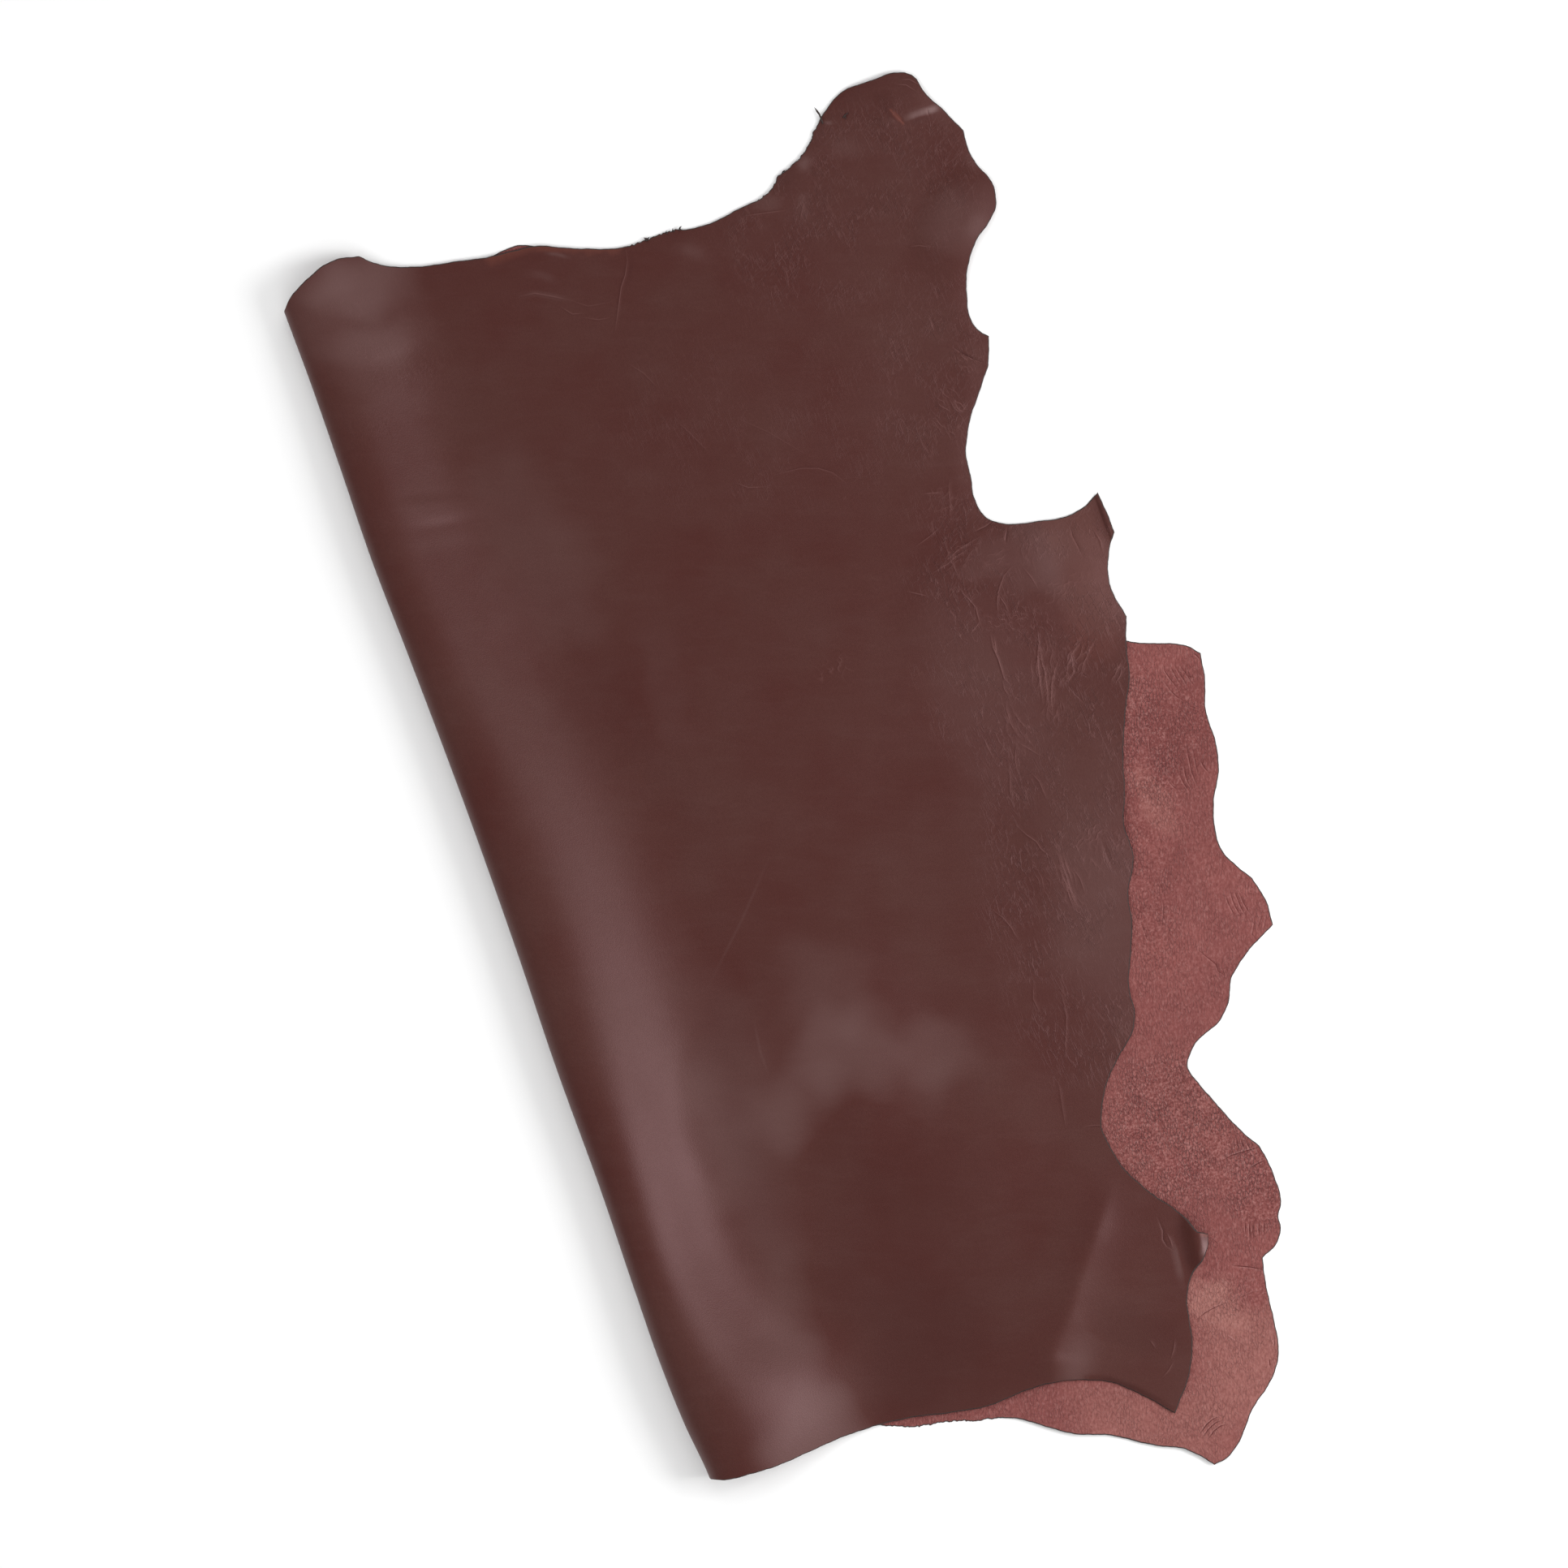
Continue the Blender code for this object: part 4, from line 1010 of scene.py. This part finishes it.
def mark_relief(points, rows):
    """Height of rounded lips and grooves, strength of the nearest one at each place, and the
    distance to it, which is above zero on its shaded side."""
    relief, strength, beside = (np.zeros(len(points)) for _ in range(3))
    nearest = np.full(len(points), FAR)
    for line, height, half in rows:
        near = near_line(points, line, LINE_REACH * half)
        if not len(near):
            continue
        far, side, place, length = distance_to_line(points[near], line)
        ends = line_ends(place, length)
        relief[near] += height * ends * soft_step(1.0 - far / (MARK_WIDTH * half))
        way = np.subtract(line[-1], line[0])
        lit = np.sign(way[0] * LIT_SIDE[1] - way[1] * LIT_SIDE[0])
        closer = far < nearest[near]
        at = near[closer]
        nearest[at] = far[closer]
        beside[at] = (-lit * side * far)[closer]
        strength[at] = (height / half * ends * soft_step(LIP_LIGHT_AND_SHADE_WIDTH - far / half))[closer]
    return relief, strength, beside


def streak_tone(points, rows):
    """Tone of soft bent streaks, which fade at their sides and ends."""
    tone = np.zeros(len(points))
    for line, half, strength in rows:
        near = near_line(points, line, LINE_REACH * half)
        if len(near):
            far, _, place, length = distance_to_line(points[near], line)
            shape = soft_step(1.0 - far / (LINE_REACH * half)) * line_ends(place, length)
            tone[near] += strength * shape
    return tone


def wandering(points):
    """Places moved a little to and fro, for soft shapes with uneven edges."""
    moved = points.copy()
    for size, length in WANDER:
        moved = moved + size * np.sin(moved[:, ::-1] / length + WANDER_STARTS)
    return moved


def uneven_edge(points, outward, torn, nicks, seed):
    """Outline with the small waver of its cut, its torn places and its nicks."""
    random = np.random.default_rng(seed)
    way = np.gradient(points, axis=0)
    way /= np.linalg.norm(way, axis=1)[:, None]
    out = outward * np.column_stack((-way[:, 1], way[:, 0]))
    steps = np.linalg.norm(np.diff(points, axis=0), axis=1)
    run = np.concatenate(([0.0], np.cumsum(steps)))
    move = np.zeros(len(points))
    for length, size in EDGE_WAVER:
        move += size * np.sin(2.0 * math.pi * run / length + random.uniform(*ANY_START)
                              + np.sin(run / length))
    jag = np.convolve(random.uniform(-1.0, 1.0, len(points)), JAG_BLEND, "same")
    for across, along, reach, size in torn:
        far = np.hypot(points[:, 0] - across, points[:, 1] - along)
        move += jag * size * soft_step(2.0 - 2.0 * far / reach)
    for across, along, reach, rise in nicks:
        far = np.hypot(points[:, 0] - across, points[:, 1] - along)
        move += rise * np.exp(-(far / reach) ** 2)
    calm = soft_step(run / CALM_LENGTH) * soft_step((run[-1] - run) / CALM_LENGTH)
    return points + out * (move * calm)[:, None]


def split_torn(points, torn):
    """Outline with close points where its edge is torn."""
    made = [points[0]]
    for a, b in zip(points[:-1], points[1:]):
        near = any(math.dist(a, row[:2]) < row[2] for row in torn)
        parts = TORN_PARTS if near else 1
        for part in range(1, parts + 1):
            made.append(a + (b - a) * part / parts)
    return np.array(made)


def fill_long_steps(outline, longest):
    """Add points where the fold stretches a step of the outline."""
    made = []
    for a, b in zip(outline, np.roll(outline, -1, axis=0)):
        count = max(1, int(math.ceil(math.dist(a, b) / longest)))
        for part in range(count):
            made.append(a + (b - a) * part / count)
    return np.array(made)


def flat_outline(step):
    """Outline of the opened hide: length from the fold, place along it."""
    halves = []
    for edge, side, torn, nicks, seed in ((EDGE_ABOVE, 1, TORN_ABOVE, NICKS_ABOVE, SEED_ABOVE),
                                          (EDGE_BELOW, -1, TORN_BELOW, NICKS_BELOW, SEED_BELOW)):
        rim = uneven_edge(split_torn(spline_points(edge, step), torn), side, torn, nicks, seed)
        flat = np.column_stack((from_fold(rim[:, 0], rim[:, 1], side), rim[:, 1]))
        halves.append(flat[:-1])
    outline = fill_long_steps(np.vstack(halves), LONGEST_STEP * step)
    around = np.roll(outline, -1, axis=0)
    turn = np.sum(outline[:, 0] * around[:, 1] - outline[:, 1] * around[:, 0])
    return outline if turn > 0.0 else outline[::-1]


def inset(outline, distance):
    """Closed outline that runs to the left, drawn in by a small distance."""
    way = np.roll(outline, -1, axis=0) - np.roll(outline, 1, axis=0)
    way /= np.linalg.norm(way, axis=1)[:, None]
    return outline + distance * np.column_stack((-way[:, 1], way[:, 0]))


def lattice(low, high):
    """Triangular lattice at the finest step, and how many doublings each point stays for."""
    rise = FINE_STEP * math.sqrt(0.75)
    rows, columns = np.meshgrid(np.arange(int((high[1] - low[1]) / rise)),
                                np.arange(int((high[0] - low[0]) / FINE_STEP) + 1))
    rows = rows.ravel()
    columns = columns.ravel()
    points = np.column_stack((low[0] + FINE_STEP * (columns + 0.5 * (rows % 2)),
                              low[1] + rise * rows))
    level = np.zeros(len(points), dtype=int)
    for doubling in range(1, HIDDEN_LEVEL + 1):
        part = 2 ** doubling
        level[(rows % part == 0) & ((columns - rows // 2) % part == 0)] = doubling
    return points, level


def wanted_level(flat, level, side, marks, streaks, patches):
    """How many doublings of the finest step are fine enough at each place of a side."""
    plan = plan_of(flat)
    wanted = np.full(len(flat), HIDDEN_LEVEL)
    broad = np.nonzero(level >= CLOSE_LEVEL)[0]
    length = flat[broad, 0]
    on_side = side * flat[:, 0] > BEND_LENGTH
    if side > 0:
        wanted[broad[length > BEND_LENGTH]] = SMOOTH_LEVEL
        wanted[broad[np.abs(length) < BEND_LENGTH]] = CLOSE_LEVEL
        for row in CLOSE_PLACES:
            near = (length > BEND_LENGTH) & (in_oval(plan[broad], row) < 1.0)
            wanted[broad[near]] = row[-1]
    else:
        under = broad[length < -BEND_LENGTH]
        bare = past_edge(plan[under], COVER_OUTLINE) > 0.0
        wanted[under[bare]] = CLOSE_LEVEL
    for row in BENT_PLACES:
        wanted[(flat[:, 0] > BEND_LENGTH) & (in_oval(plan, row) < 1.0)] = row[-1]
    for row in patches:
        wanted[on_side & (in_oval(plan, row) < PATCH_REACH)] = 0
    lines = [(line, LINE_REACH * half, min(CLOSE_LEVEL, int(half / STREAK_STEP)))
             for line, half, _ in streaks]
    lines += [(line, LINE_REACH * half + MARK_MARGIN, 0) for line, _, half in marks]
    for line, reach, finest in lines:
        near = near_line(plan, line, reach)
        near = near[on_side[near]]
        near = near[distance_to_line(plan[near], line)[0] < reach]
        wanted[near] = np.minimum(wanted[near], finest)
    return wanted


def side_points(flat_rim, side, marks, streaks, patches):
    """Mesh points of one side: its rim, then lattice points inside it."""
    points, level = lattice(flat_rim.min(axis=0), flat_rim.max(axis=0))
    points = points[level >= wanted_level(points, level, side, marks, streaks, patches)]
    tree = KDTree(len(flat_rim))
    for index, (x, y) in enumerate(flat_rim):
        tree.insert((x, y, 0.0), index)
    tree.balance()
    clear = [tree.find((x, y, 0.0))[2] > RIM_CLEAR * RIM_STEP for x, y in points]
    return np.vstack((flat_rim, points[clear]))


def triangulate(flat, rim_count):
    """Triangles inside the rim, and the points that they use with the rim first."""
    coords = [Vector(point) for point in flat * MM]
    rim = list(range(rim_count))
    made, _, faces, origins, _, _ = delaunay_2d_cdt(coords, [], [rim], 1, SAME_PLACE)
    place = np.array([(point.x, point.y) for point in made]) / MM
    faces = np.array(faces)
    a, b, c = (place[faces[:, corner]] for corner in range(3))
    turn = (b[:, 0] - a[:, 0]) * (c[:, 1] - a[:, 1]) - (b[:, 1] - a[:, 1]) * (c[:, 0] - a[:, 0])
    faces[turn < 0.0] = faces[turn < 0.0][:, ::-1]
    order = np.full(len(place), -1)
    for index, sources in enumerate(origins):
        for source in sources:
            if source < rim_count:
                order[index] = source
    used = np.unique(faces)
    inner = used[order[used] < 0]
    order[inner] = rim_count + np.arange(len(inner))
    kept = np.zeros((rim_count + len(inner), 2))
    known = order >= 0
    kept[order[known]] = place[known]
    return kept, order[faces]


def fade_near(points, rows):
    """Strongest of several soft ovals at each place."""
    value = np.zeros(len(points))
    for row in rows:
        value = np.maximum(value, row[-1] * soft_step(OVAL_STEEP * (1.0 - in_oval(points, row))))
    return value


def stretched_at(points):
    """Strongest of the stretched stripes at each place."""
    value = np.zeros(len(points))
    for line, half, strength in STRETCHED:
        near = near_line(points, line, STRETCHED_WIDTH * half)
        if len(near):
            far = distance_to_line(points[near], line)[0]
            shape = soft_step(STRETCHED_WIDTH - far / half)
            value[near] = np.maximum(value[near], strength * shape)
    return value


def mesh_of(name, points, faces):
    """Smooth mesh from places in hide millimetres."""
    mesh = bpy.data.meshes.new(name)
    place = (points - (MIDDLE_ACROSS, MIDDLE_ALONG, 0.0)) * MM
    mesh.from_pydata(place.tolist(), [], faces)
    mesh.polygons.foreach_set("use_smooth", np.ones(len(faces), dtype=bool))
    return mesh


def build_sheet():
    """Mesh of the hide: grain side, flesh side and the rounded cut edge between them."""
    outline = flat_outline(RIM_STEP)
    rim = inset(outline, EDGE_ROUND)
    count = len(outline)
    wrinkles = [line for row in WRINKLES_ABOVE for line in wrinkle_lines(row)]

    points = side_points(rim, 1, MARKS, STREAKS_ABOVE, WRINKLES_ABOVE)
    grain_flat, grain_faces = triangulate(points, count)
    points = side_points(rim, -1, MARKS_BELOW, STREAKS_BELOW, ())
    flesh_flat, flesh_faces = triangulate(points, count)

    grain, _, grain_way = sheet_sides(grain_flat)
    on_top = np.nonzero(grain_flat[:, 0] > 0.0)[0]
    relief, grain_lip_light_and_shade, grain_beside = mark_relief(grain[on_top, :2], [*MARKS, *wrinkles])
    grain[on_top] += grain_way[on_top] * relief[:, None]

    _, flesh, flesh_way = sheet_sides(flesh_flat)
    bare = np.nonzero(flesh_flat[:, 0] < -BEND_LENGTH)[0]
    relief, flesh_lip_light_and_shade, flesh_beside = mark_relief(flesh[bare, :2], MARKS_BELOW)
    flesh[bare] -= flesh_way[bare] * relief[:, None]

    points = np.vstack((grain, flesh, sheet_middle(outline)))
    first_flesh = len(grain)
    first_middle = first_flesh + len(flesh)
    here = np.arange(count)
    after = np.roll(here, -1)
    outer = np.column_stack((here, first_middle + here, first_middle + after, after))
    inner = np.column_stack((first_middle + here, first_flesh + here,
                             first_flesh + after, first_middle + after))
    faces = (grain_faces.tolist() + (flesh_faces[:, ::-1] + first_flesh).tolist()
             + outer.tolist() + inner.tolist())
    mesh = mesh_of("hide_sheet", points, faces)
    kinds = np.repeat((0, 1, 2), (len(grain_faces), len(flesh_faces), 2 * count))
    mesh.polygons.foreach_set("material_index", kinds.astype(np.int32))
    mark_sharp(mesh, (0, first_flesh), count)

    painted = {name: np.zeros(len(points)) for name in PAINTED}
    plan = grain[on_top, :2]
    painted["stretched"][on_top] = stretched_at(plan)
    sides = ((on_top, plan, LOOSE_GRAIN, grain_lip_light_and_shade, grain_beside, PAINTED_SHEEN_AND_TONE, STREAKS_ABOVE),
             (first_flesh + bare, flesh[bare, :2], COARSE_NAP, flesh_lip_light_and_shade, flesh_beside,
              FLESH_TONE, STREAKS_BELOW))
    for at, plan, loose, lip_light_and_shade, beside, tones, streaks in sides:
        painted["loose"][at] = fade_near(plan, loose)
        # painted light and shade of the lips and grooves, and the distance that places it
        painted["lip_light_and_shade"][at] = lip_light_and_shade
        painted["beside"][at] = beside
        # tone ovals and streaks, with painted highlights and shade among them
        painted["tone"][at] = swell_height(wandering(plan), tones) + streak_tone(plan, streaks)
    for name, value in painted.items():
        mesh.attributes.new(name, "FLOAT", "POINT").data.foreach_set("value", value)
    mesh.update()
    return mesh


def build_fibres():
    """Mesh of the loose fibres, each a bent cone."""
    points = []
    faces = []
    for line, height, thick, tip_height, tip_thick in FIBRES:
        first = len(points)
        line = np.array(line, dtype=float)
        way = np.gradient(line, axis=0)
        way /= np.linalg.norm(way, axis=1)[:, None]
        share = np.linspace(0.0, 1.0, len(line))
        for place, ahead, part in zip(line[:-1], way[:-1], share):
            for turn in np.arange(FIBRE_SIDES) * 2.0 * math.pi / FIBRE_SIDES:
                half = 0.5 * (thick + (tip_thick - thick) * part)
                aside = half * math.cos(turn)
                points.append((place[0] - ahead[1] * aside, place[1] + ahead[0] * aside,
                               height + (tip_height - height) * part + half * math.sin(turn)))
        tip = len(points)
        points.append((line[-1, 0], line[-1, 1], tip_height))
        sides = [(side, (side + 1) % FIBRE_SIDES) for side in range(FIBRE_SIDES)]
        for start in range(first, tip - FIBRE_SIDES, FIBRE_SIDES):
            for side, after in sides:
                faces.append((start + side, start + after,
                              start + FIBRE_SIDES + after, start + FIBRE_SIDES + side))
        start = tip - FIBRE_SIDES
        faces += [(start + side, start + after, tip) for side, after in sides]
        faces.append(tuple(range(first + FIBRE_SIDES - 1, first - 1, -1)))
    mesh = mesh_of("edge_fibres", np.array(points), faces)
    mesh.update()
    return mesh


def mark_sharp(mesh, firsts, count):
    """Crisp line where each side meets the cut edge."""
    ends = np.zeros(2 * len(mesh.edges), dtype=np.int32)
    mesh.edges.foreach_get("vertices", ends)
    ends = ends.reshape(-1, 2)
    sharp = np.zeros(len(ends), dtype=bool)
    for first in firsts:
        rank = ends - first
        on_rim = ((rank >= 0) & (rank < count)).all(axis=1)
        step = np.abs(rank[:, 0] - rank[:, 1])
        sharp |= on_rim & ((step == 1) | (step == count - 1))
    mesh.edges.foreach_set("use_edge_sharp", sharp)


class Nodes:
    """Short way to add and join the nodes of one material."""

    def __init__(self, name):
        self.material = bpy.data.materials.new(name)
        self.material.use_nodes = True
        self.tree = self.material.node_tree
        self.shader = self.tree.nodes["Principled BSDF"]

    def add(self, kind, settings=(), **inputs):
        node = self.tree.nodes.new(kind)
        for name, value in dict(settings).items():
            setattr(node, name, value)
        for name, value in inputs.items():
            self.feed(node.inputs[name.replace("_", " ")], value)
        return node

    def feed(self, socket, value):
        if isinstance(value, bpy.types.NodeSocket):
            self.tree.links.new(value, socket)
        else:
            socket.default_value = value

    def place(self, cell=PLAIN_CELL, turn=0.0):
        """Place on the hide in cells of this size in metres, turned about the upright axis."""
        where = self.add("ShaderNodeTexCoord").outputs["Object"]
        mapping = self.add("ShaderNodeMapping", {"vector_type": "TEXTURE"}, Vector=where,
                           Scale=cell, Rotation=(0.0, 0.0, turn))
        return mapping.outputs["Vector"]

    def pattern(self, name):
        """Noise pattern by its name, with its own spread."""
        cell, turn, scale, detail, roughness, distortion, spread = PATTERNS[name]
        value = self.add("ShaderNodeTexNoise", Vector=self.place(cell, turn), Scale=scale,
                         Detail=detail, Roughness=roughness, Distortion=distortion).outputs["Fac"]
        return value if spread is AS_IS else self.ramp(value, *spread)

    def thin_lines(self, name, half):
        """Thin wandering lines, 1 on them, longer along the cells of the pattern."""
        away = self.math("ABSOLUTE", self.math("SUBTRACT", self.pattern(name), 0.5), 0.0)
        return self.ramp(away, 0.0, half, 1.0, 0.0)

    def voronoi(self, place, scale, feature="F1"):
        return self.add("ShaderNodeTexVoronoi", {"feature": feature}, Vector=place,
                        Scale=scale).outputs["Distance"]

    def ramp(self, value, low, high, start=0.0, end=1.0):
        return self.add("ShaderNodeMapRange", Value=value, From_Min=low, From_Max=high,
                        To_Min=start, To_Max=end).outputs["Result"]

    def mix(self, share, first, second):
        node = self.add("ShaderNodeMix", {"data_type": "RGBA"})
        self.feed(node.inputs["Factor"], share)
        self.feed(node.inputs[6], first)
        self.feed(node.inputs[7], second)
        return node.outputs[2]

    def math(self, operation, first, second):
        node = self.add("ShaderNodeMath", {"operation": operation})
        self.feed(node.inputs[0], first)
        self.feed(node.inputs[1], second)
        return node.outputs["Value"]

    def times(self, first, second):
        return self.math("MULTIPLY", first, second)

    def painted(self, name):
        return self.add("ShaderNodeAttribute", {"attribute_name": name}).outputs["Fac"]

    def bump(self, height, distance, normal=None):
        node = self.add("ShaderNodeBump", Height=height, Distance=distance)
        if normal is not None:
            self.feed(node.inputs["Normal"], normal)
        return node.outputs["Normal"]

    def tinted(self, colour, value, pale, deep, full, strength=1.0):
        """Colour drawn to a paler one where a value is over zero and to a deeper one below."""
        colour = self.mix(self.ramp(value, 0.0, full, 0.0, strength), colour, pale)
        return self.mix(self.ramp(value, 0.0, -full, 0.0, strength), colour, deep)

    def lip_tone(self, shaded_share):
        """Tone of the fine lips and grooves: lit on the middle line, shaded beside it."""
        beside = self.painted("beside")
        lit = self.ramp(self.math("ABSOLUTE", beside, 0.0), *LIT_LINE, 1.0, 0.0)
        off = self.math("ABSOLUTE", self.math("SUBTRACT", beside, SHADED_MIDDLE), 0.0)
        shaded = self.ramp(off, *SHADED_LINE, shaded_share, 0.0)
        return self.times(self.painted("lip_light_and_shade"), self.math("SUBTRACT", lit, shaded))

    def finish(self, **inputs):
        for name, value in inputs.items():
            self.feed(self.shader.inputs[name.replace("_", " ")], value)
        return self.material


def grain_material():
    made = Nodes("hide_grain")
    colour = made.mix(made.pattern("grain cloud"), GRAIN_DARK, GRAIN_LIGHT)
    colour = made.mix(made.pattern("brushed"), colour, GRAIN_PALE_AND_SHEEN)
    colour = made.mix(made.pattern("fleck"), colour, GRAIN_DEEP)
    # painted highlights and darker places from the tone ovals and streaks
    colour = made.tinted(colour, made.painted("tone"), GRAIN_PALE_AND_SHEEN, GRAIN_DEEP, full=1.0)
    # painted light on the lips' middles and painted shade beside them
    colour = made.tinted(colour, made.lip_tone(GRAIN_SHADED), GRAIN_LIP, GRAIN_DEEP, full=0.5)
    colour = made.mix(made.painted("stretched"), colour, GRAIN_STRETCHED)
    loose = made.painted("loose")
    rough = made.math("ADD", made.pattern("gloss"), made.times(loose, LOOSE_ROUGH))

    normal = made.bump(made.voronoi(made.place(), PORE_SCALE), PORE_DEPTH)
    growth = made.times(made.pattern("growth"), made.ramp(loose, *GROWTH_BY_LOOSE))
    normal = made.bump(growth, GROWTH_DEPTH, normal)
    wrinkled = made.times(made.pattern("wrinkled patch"), made.ramp(loose, *LINES_BY_LOOSE))
    crossing = made.thin_lines("crossing lines", CROSSING_HALF)
    lines = made.math("ADD", made.thin_lines("lengthwise lines", LENGTHWISE_HALF),
                      made.times(crossing, CROSSING_SHARE))
    lines = made.times(lines, wrinkled)
    # fine lines painted paler as highlights on their lips
    colour = made.mix(made.times(lines, LINES_TONE), colour, GRAIN_LIP)
    normal = made.bump(lines, LINES_DEPTH, normal)
    return made.finish(Base_Color=colour, Roughness=rough, Normal=normal,
                       Specular_IOR_Level=0.36, Specular_Tint=GRAIN_SHEEN)


def flesh_material():
    made = Nodes("hide_flesh")
    coarse = made.painted("loose")
    depth = made.ramp(coarse, *NAP_BY_COARSE)
    nap = made.math("ADD", made.times(made.pattern("combed"), made.ramp(coarse, *COMBED_BY_COARSE)),
                    made.times(made.pattern("pebbled"), made.ramp(coarse, *PEBBLED_BY_COARSE)))
    colour = made.mix(made.pattern("flesh cloud"), FLESH_DARK, FLESH_LIGHT)
    # paler and deeper flesh tone, with the painted highlight below the pleat
    colour = made.tinted(colour, made.painted("tone"), FLESH_PALE_AND_HIGHLIGHT, FLESH_DEEP, full=1.0,
                         strength=FLESH_TONE_SHARE)
    # painted shade in the nap's hollows and painted light on its tips
    colour = made.mix(made.times(made.ramp(nap, *NAP_HOLLOWS), depth), colour, FLESH_DEEP)
    colour = made.mix(made.times(made.ramp(nap, *NAP_TIPS), depth), colour, FLESH_PALE)
    edges = made.voronoi(made.place(*CRACK_CELL), 1.0, "DISTANCE_TO_EDGE")
    cracks = made.times(made.ramp(edges, 0.0, CRACK_WIDTH, 1.0, 0.0),
                        made.times(made.pattern("cracked patch"), depth))
    colour = made.mix(made.times(cracks, CRACK_TONE), colour, FLESH_DEEP)
    blotch = made.times(made.pattern("blotch"), coarse)
    colour = made.mix(blotch, colour, FLESH_DEEP)
    # painted light and shade beside the grooves
    colour = made.tinted(colour, made.lip_tone(FLESH_SHADED), FLESH_PALE, FLESH_DEEP, full=0.4)
    normal = made.bump(made.pattern("flesh fibre"), FIBRE_DEPTH)
    normal = made.bump(nap, NAP_DEPTH, normal)
    normal = made.bump(cracks, CRACK_DEPTH, normal)
    return made.finish(Base_Color=colour, Roughness=0.95, Normal=normal, Sheen_Weight=0.15,
                       Sheen_Roughness=0.6, Specular_IOR_Level=0.2)


def edge_material():
    made = Nodes("hide_cut_edge")
    fibre = made.pattern("edge fibre")
    colour = made.mix(made.ramp(fibre, *EDGE_TONE), EDGE_DARK, EDGE_LIGHT)
    return made.finish(Base_Color=colour, Roughness=0.9, Normal=made.bump(fibre, EDGE_DEPTH))


def add_object(name, data):
    thing = bpy.data.objects.new(name, data)
    bpy.context.scene.collection.objects.link(thing)
    return thing


def picture_place(right, up, height):
    """Point over the surface by its place in the picture, from the picture's middle."""
    turn = PICTURE_TURN
    x = (PICTURE_MIDDLE[0] - MIDDLE_ACROSS) * MM + right * math.cos(turn) - up * math.sin(turn)
    y = (PICTURE_MIDDLE[1] - MIDDLE_ALONG) * MM + right * math.sin(turn) + up * math.cos(turn)
    return Vector((x, y, height))


def facing(way):
    """Turn of a light that shines this way."""
    return way.to_track_quat("-Z", "Y").to_euler()


def add_camera():
    data = bpy.data.cameras.new("camera")
    data.sensor_width = SENSOR
    data.lens = SENSOR * CAMERA_HEIGHT / PICTURE_SPAN
    data.clip_end = FAR_CLIP
    camera = add_object("camera", data)
    camera.location = picture_place(0.0, 0.0, CAMERA_HEIGHT)
    camera.rotation_euler = (0.0, 0.0, PICTURE_TURN)
    bpy.context.scene.camera = camera


def add_window(place, target, size, power):
    data = bpy.data.lights.new("window", "AREA")
    data.shape = "RECTANGLE"
    data.size, data.size_y = size
    data.energy = power
    light = add_object("window", data)
    light.location = picture_place(*place)
    light.rotation_euler = facing(picture_place(*target) - light.location)
    light.visible_camera = False


def add_fill(side, height, strength):
    """Wide soft light that leaves no sheen, from a side of the picture and a height."""
    data = bpy.data.lights.new("fill", "SUN")
    data.energy = strength
    data.angle = FILL_SPREAD
    light = add_object("fill", data)
    side = math.radians(side) + PICTURE_TURN
    height = math.radians(height)
    light.rotation_euler = facing(Vector((-math.cos(side) * math.cos(height),
                                          -math.sin(side) * math.cos(height),
                                          -math.sin(height))))
    light.visible_glossy = False


def add_studio():
    floor_mesh = bpy.data.meshes.new("floor")
    corners = [(x * FLOOR_HALF, y * FLOOR_HALF, 0.0)
               for x, y in ((-1, -1), (1, -1), (1, 1), (-1, 1))]
    floor_mesh.from_pydata(corners, [], [(0, 1, 2, 3)])
    floor_mesh.materials.append(Nodes("floor_white").finish(
        Base_Color=FLOOR_COLOUR, Roughness=0.9, Specular_IOR_Level=0.1))
    add_object("floor", floor_mesh)
    world = bpy.data.worlds.new("studio")
    world.use_nodes = True
    back = world.node_tree.nodes["Background"]
    back.inputs["Color"].default_value = (1.0, 1.0, 1.0, 1.0)
    back.inputs["Strength"].default_value = SKY_STRENGTH
    bpy.context.scene.world = world
    add_window(*WINDOW)
    for row in FILLS:
        add_fill(*row)
    bpy.context.scene.view_settings.view_transform = "Standard"


def main():
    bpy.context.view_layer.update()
    sheet_mesh = build_sheet()
    fibre_mesh = build_fibres()
    edge = edge_material()
    for material in (grain_material(), flesh_material(), edge):
        sheet_mesh.materials.append(material)
    fibre_mesh.materials.append(edge)
    sheet = add_object("hide_sheet", sheet_mesh)
    fibres = add_object("edge_fibres", fibre_mesh)
    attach(fibres, "root")
    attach(sheet, "root")
    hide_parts("hide")
    add_camera()
    add_studio()


main()
